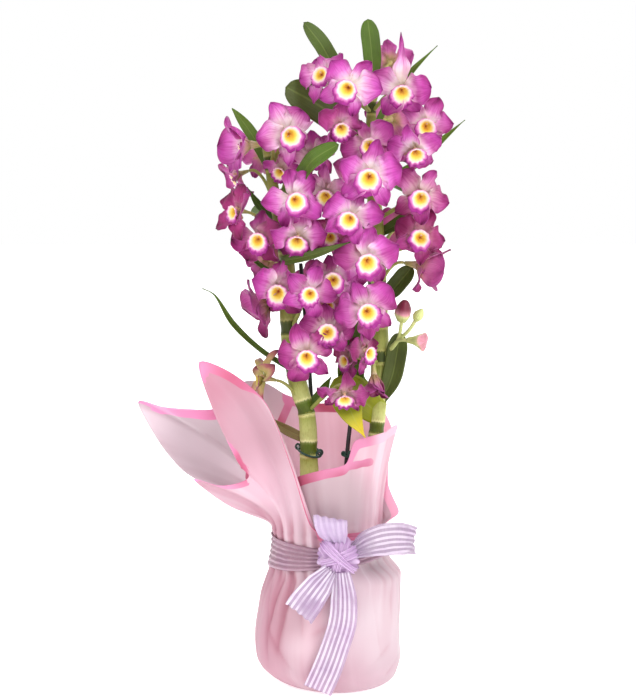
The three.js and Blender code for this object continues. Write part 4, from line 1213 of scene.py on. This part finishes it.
def crease_depth(angle, height):
    total = 0.0
    for a0, z0, a1, z1, depth, width in CREASES:
        if not min(z0, z1) - 12 < height < max(z0, z1) + 12:
            continue
        x, along_x = (BODY_RADIUS * math.radians(off_by(turned, a0)) for turned in (angle, a1))
        t = (x * along_x + (height - z0) * (z1 - z0)) / (along_x**2 + (z1 - z0) ** 2)
        if -0.15 < t < 1.15:
            gap = math.hypot(x - t * along_x, height - z0 - t * (z1 - z0))
            total += depth * math.exp(-((gap / width) ** 1.1)) * climb(-0.15, 0.2, t) * (1 - climb(0.8, 1.15, t))
    return total


PLEAT_DEPTH = [(20, 0), (70, 0.5), (100, 1.4), (114, 2.8), (132, 3.4), (150, 3.4)]
FOLD_DEPTH = [(2, 0), (14, 0.7), (50, 1.6), (85, 1.7), (106, 1.3), (122, 0)]


def gather(angle, height):
    depth = table_at(PLEAT_DEPTH, height) * pleat(angle) + table_at(FOLD_DEPTH, height) * soft_fold(angle)
    return depth + 1.3 * crease_depth(angle, height)


def tuck(angle, height):
    """How far the body is pushed in at a place: gathers, soft folds, creases, and a hollow under the bow."""
    hollow = math.exp(-((off_by(angle, 318) / 17) ** 2) - ((height - 119) / 7) ** 2)
    return gather(angle, height) + 7 * hollow


def sheet_columns(profile, foot, edge_at):
    """For each column round a sheet, its points from the middle of the base to its edge."""
    body = spline(profile, BODY_ROWS)
    columns = []
    for k in range(SHEET_COLUMNS + 1):
        angle = 360 * k / SHEET_COLUMNS
        turn = math.radians(angle)
        out = polar(1, turn)
        column = [polar(r - tuck(angle, z) * climb(40, 62, r), turn, z, shift) for r, z, shift in body]
        start = out * foot[0] + Vector((0, 0, foot[1]))
        edge = edge_at(angle)
        lean = start + Vector((0, 0, (edge.z - start.z) * 0.45))
        reach = (edge - start).length
        for i in range(1, FLARE_ROWS + 1):
            t = i / FLARE_ROWS
            point = start * (1 - t) ** 2 + lean * 2 * t * (1 - t) + edge * t * t
            fade = (1 - t) ** 1.2
            wave = 0.9 * (1 - fade) * math.sin(11 * turn) * climb(20, 80, reach)
            column.append(point - out * (3.4 * fade * pleat(angle) + wave))
        columns.append(column)
    columns[-1] = columns[0]
    return columns


def inset(profile, distance):
    """The profile moved inwards, square to itself."""
    moved = []
    for i, (r, z, shift) in enumerate(profile):
        r0, z0, _ = profile[max(0, i - 1)]
        r1, z1, _ = profile[min(len(profile) - 1, i + 1)]
        length = math.hypot(r1 - r0, z1 - z0)
        moved.append((max(0, r - distance * (z1 - z0) / length), z + distance * (r1 - r0) / length, shift))
    return moved


def margin_at(point, angle, margin, bands):
    """The distance that the film's finish reads: to the edge, or to a band that shows through."""
    for (x0, z0), (x1, z1), half, wave, (low, high) in bands:
        if not low < angle < high:
            continue
        across, up = x1 - x0, z1 - z0
        length = math.hypot(across, up)
        t = ((point.x - x0) * across + (point.z - z0) * up) / length
        off = abs((point.x - x0) * up - (point.z - z0) * across) / length
        off += wave * math.sin(t * 0.55) + max(0, -t, t - length) * 2
        margin = min(margin, off + BORDER - half)
    return margin


def make_sheet(side, columns, gaps, bands, finish):
    """One sheet of film. Its tone is the distance from its edge in millimetres, or how far it is pushed in, for the
    painted shade in its creases.
    """
    rows = len(columns[0]) - 1
    rim = KDTree(4 * SHEET_COLUMNS)
    for k in range(4 * SHEET_COLUMNS):
        rim.insert(columns[k // 4][-1].lerp(columns[k // 4 + 1][-1], k % 4 / 4), k)
    rim.balance()

    def tone(u, v):
        k = round(u * SHEET_COLUMNS)
        point, angle = columns[k][round(v * rows)], 360 * k / SHEET_COLUMNS
        _, i, gap = rim.find(point)
        margin = margin_at(point, angle, gap + table_at(gaps, i * 90 / SHEET_COLUMNS), bands)
        # Away from the edge, the tone is how far the film is pushed in, which the finish paints as shade in its
        # creases.
        return margin if margin < NEAR_EDGE else NO_BORDER + gather(angle, point.z) * (1 - climb(150, 180, point.z))

    model = Modelling()
    faces = model.grid(SHEET_COLUMNS, rows, lambda u, v: columns[round(u * SHEET_COLUMNS)][round(v * rows)], tone)
    outside = set(model.bm.verts)
    model.wall(faces, FILM)
    for vert in model.bm.verts:
        # A band shows only on the inside of the back and on the outside of the front.
        behind = math.degrees(math.atan2(vert.co.y, vert.co.x)) % 360 < 220
        if (vert in outside) == behind and vert[model.tone] < NEAR_EDGE < rim.find(vert.co)[2]:
            vert[model.tone] = NO_BORDER
    made = model.piece(f"film_{side}", f"{side}_sheet", [finish], f"wrap_sheet_{side}")


# What is added to the distance from the edge round each sheet, in degrees and millimetres: none leaves the
# whole border, 7.3 a thin line of it, and 20 no border.
OUTER_GAPS = [
    (165, 0), (170, 20), (194, 20), (195, 0.8), (212, 0.8), (213, 20), (214, 20), (215, 1), (218, 3), (219.5, 1),
    (221.5, 4), (222.5, 20), (227.5, 20), (228.5, 0), (241, 0), (243, 7.8), (262, 7.8), (266, 0),
]
INNER_GAPS = [(126, 0), (129, 20), (153, 20), (156, -2.5), (170, -3.5), (180, -5), (182.5, 20), (206, 20), (214, 0)]
# Bands that show through: each from (x, z) to (x, z), its half width, its wave, and the angles it lies in.
INNER_BANDS = [
    ((-35, 266), (-50, 234), 4, 0, (95, 140)),
    ((-93, 236), (-72, 193), 3.6, 1.4, (150, 196)),
    ((17, 214), (41, 217), 3.4, 0.3, (270, 330)),
]


def make_wrap():
    """The two sheets of film, one inside the other."""
    outer = sheet_columns(SHEET_PROFILE, OUTER_FOOT, lambda angle: collar_point(angle, 1, OUTER_EDGE))
    inner_profile = [*inset(SHEET_PROFILE, INNER_GAP), INNER_FOOT]
    inner = sheet_columns(inner_profile, INNER_FOOT, lambda angle: collar_point(angle, 2, OUTER_EDGE))
    tint = [
        (0.0, "#ffffff"), (0.54, "#f6ebf0"), (0.6, "#f6e2ea"), (0.63, "#fdf3f7"), (0.66, "#ffffff"),
        (0.685, "#ffffff"), (0.705, "#f6dfe7"), (0.725, "#ecc8d4"), (0.745, "#f8ecf1"), (1.0, "#ffffff"),
    ]
    # Spots of painted light and painted shade on each film: a place in metres, a reach, a share and a colour.
    outer_lit_and_shaded_spots = [
        ((-0.05, -0.062, 0.188), 0.06, 0.6, "#f8e4ee"), ((-0.1, -0.03, 0.178), 0.045, 0.3, "#f4dfe8"),
        ((-0.085, -0.045, 0.245), 0.05, 0.4, "#dccad2"), ((-0.005, -0.066, 0.06), 0.045, 0.65, "#f6e2e8"),
        ((-0.036, -0.062, 0.078), 0.036, 0.5, "#d0a0ae"), ((0.05, -0.05, 0.06), 0.05, 0.5, "#ecdfe4"),
    ]
    inner_lit_and_shaded_spots = [
        ((0.0, 0.03, 0.23), 0.09, 0.7, "#fad8e4"), ((-0.055, 0.01, 0.255), 0.04, 0.6, "#e4e2e4"),
        ((0.005, -0.05, 0.185), 0.05, 0.85, "#ccb6bc"), ((-0.12, -0.02, 0.235), 0.06, 0.75, "#cdbcc3"),
    ]
    plain = [(0.0, "#ffffff"), (1.0, "#ffffff")]
    # Each film's first two colours are its left and its right: the darker left is painted shade.
    outer_film = film_finish("outer_film", "#dcb8c4", "#e2d5da", tint, "#d87698", outer_lit_and_shaded_spots, 0.4)
    inner_film = film_finish("inner_film", "#d8cad0", "#ecd0da", plain, "#cc6c8a", inner_lit_and_shaded_spots, 0.45)
    make_sheet("outer", outer, OUTER_GAPS, [], outer_film)
    make_sheet("inner", inner, INNER_GAPS, INNER_BANDS, inner_film)


# ---- the ribbon ------------------------------------------------------------------------------------

RIBBON_WIDTH = 36
RIBBON_WALL = 0.25
STRIP_ROWS, STRIP_FOLDS = 100, 4
BAND_TOP = [(0, 146), (150, 145), (185, 143), (225, 141), (262, 138), (280, 139), (320, 146), (360, 146)]
BAND_FOOT = [(0, 124), (150, 116), (185, 112), (225, 115), (262, 120), (280, 121), (320, 124), (360, 124)]


def make_band(finish):
    """The two turns round the neck, drawn together into ridges."""
    neck = spline(SHEET_PROFILE[10:], 80)
    radii = [(height, radius) for radius, height, _ in neck]
    shifts = [(height, shift) for _, height, shift in neck]

    def place(u, v):
        angle = 360 * u
        height = lerp(table_at(BAND_FOOT, angle), table_at(BAND_TOP, angle), v)
        ridges = math.sin(FULL_TURN * 5.5 * v + 0.7 * math.sin(math.radians(3 * angle)) + 0.5)
        radius = table_at(radii, height) + 1.0 + 0.7 * ridges - 0.5 * pleat(angle)
        return polar(radius, math.radians(angle), height, table_at(shifts, height))

    model = Modelling()
    faces = model.grid(240, 36, place)
    for face in faces:
        for loop in face.loops:
            u, v = loop[model.uv].uv
            loop[model.uv].uv = (v, u * 9)
    model.wall(faces, RIBBON_WALL)
    made = model.piece("ribbon_band", "ribbon", [finish], "ribbon")


def make_strip(name, strip, finish):
    """A loop or tail, gathered into folds where it is narrow."""
    line = spline(strip["line"], STRIP_ROWS)
    frames = frames_along(line, Vector(strip["across"]))
    widths = strip["widths"]
    stations = [(i / (len(widths) - 1), width) for i, width in enumerate(widths)]
    pitch = RIBBON_WIDTH / (2 * STRIP_FOLDS)

    def place(u, v):
        point, normal, out = frames[round(v * STRIP_ROWS)]
        width = table_at(stations, v)
        height = math.sqrt(max(0.0, pitch**2 - (width / (2 * STRIP_FOLDS)) ** 2)) / 2
        wave = math.sin(FULL_TURN * STRIP_FOLDS * u + 3 * v)
        return point + out * ((u - 0.5) * width) + normal * (height * wave * 0.45)

    model = Modelling()
    model.wall(model.grid(40, STRIP_ROWS, place), RIBBON_WALL)
    made = model.piece(f"ribbon_{name}", "ribbon", [finish], "ribbon")
    length_of(line) * MM


def make_knot(finish):
    """The knot: a gathered wad with three straps drawn round it."""
    model = Modelling()
    centre = Vector((10, -63, 134))

    def wad(u, v):
        turn, tilt = FULL_TURN * u, math.pi * (v - 0.5)
        folds = 0.13 * math.sin(5 * turn + 7 * tilt) + 0.12 * math.sin(3 * turn - 9 * tilt + 1)
        crumple = 1 + math.cos(tilt) * folds
        x = 18 * math.cos(tilt) * math.cos(turn) * crumple
        y = 7.5 * math.cos(tilt) * math.sin(turn) * crumple
        return centre + Vector((x, y, 16 * math.sin(tilt) * crumple))

    model.grid(96, 48, wad)

    # How each strap is turned in degrees, how wide it is and how far out it lies.
    for lean, width, out in ((8, 11, 0.2), (64, 9, 1.6), (-52, 8, 2.8)):
        turned = Matrix.Rotation(math.radians(lean), 3, "Y")

        def strap(u, v):
            turn = FULL_TURN * v
            lift = out + 1.3 + 0.8 * math.sin(FULL_TURN * 2.5 * u + 2 * math.sin(turn))
            x = (u - 0.5) * width * (1 + 0.25 * math.sin(2 * turn)) + 2 * math.sin(turn)
            return centre + turned @ Vector((x, -(8.2 + lift) * math.cos(turn), (16.5 + lift) * math.sin(turn)))

        model.wall(model.grid(20, 90, strap), RIBBON_WALL)
    made = model.piece("ribbon_knot", "ribbon", [finish], "ribbon")


def make_ribbon():
    finish = ribbon_finish("ribbon_weave", "#c6b0ca", "#e8deec", 0.5, 0.8)
    make_band(ribbon_finish("ribbon_round_neck", "#b48c9e", "#c8a4b6", 0.7, 0.85))
    veil = ribbon_finish("ribbon_veil", "#d2bedb", "#dccbe2", 0.55, 0.65)
    # A darker copy of the ribbon for the right loop: painted shade.
    right_loop_shade = ribbon_finish("ribbon_turned_away", "#b4a0b6", "#dccfde", 0.6, 0.85)
    finishes = {"upper_loop": veil, "right_loop": right_loop_shade}
    for name, strip in STRIPS.items():
        make_strip(name, strip, finishes.get(name, finish))
    # The knot's copy is lighter and pinker: painted light against its shadow, and a pinker lilac.
    make_knot(ribbon_finish("ribbon_tied", "#d4b2da", "#ead0ee", 0.6, 0.75))


set_up_studio()
make_blooms()
make_canes()
make_fittings()
make_wrap()
make_ribbon()
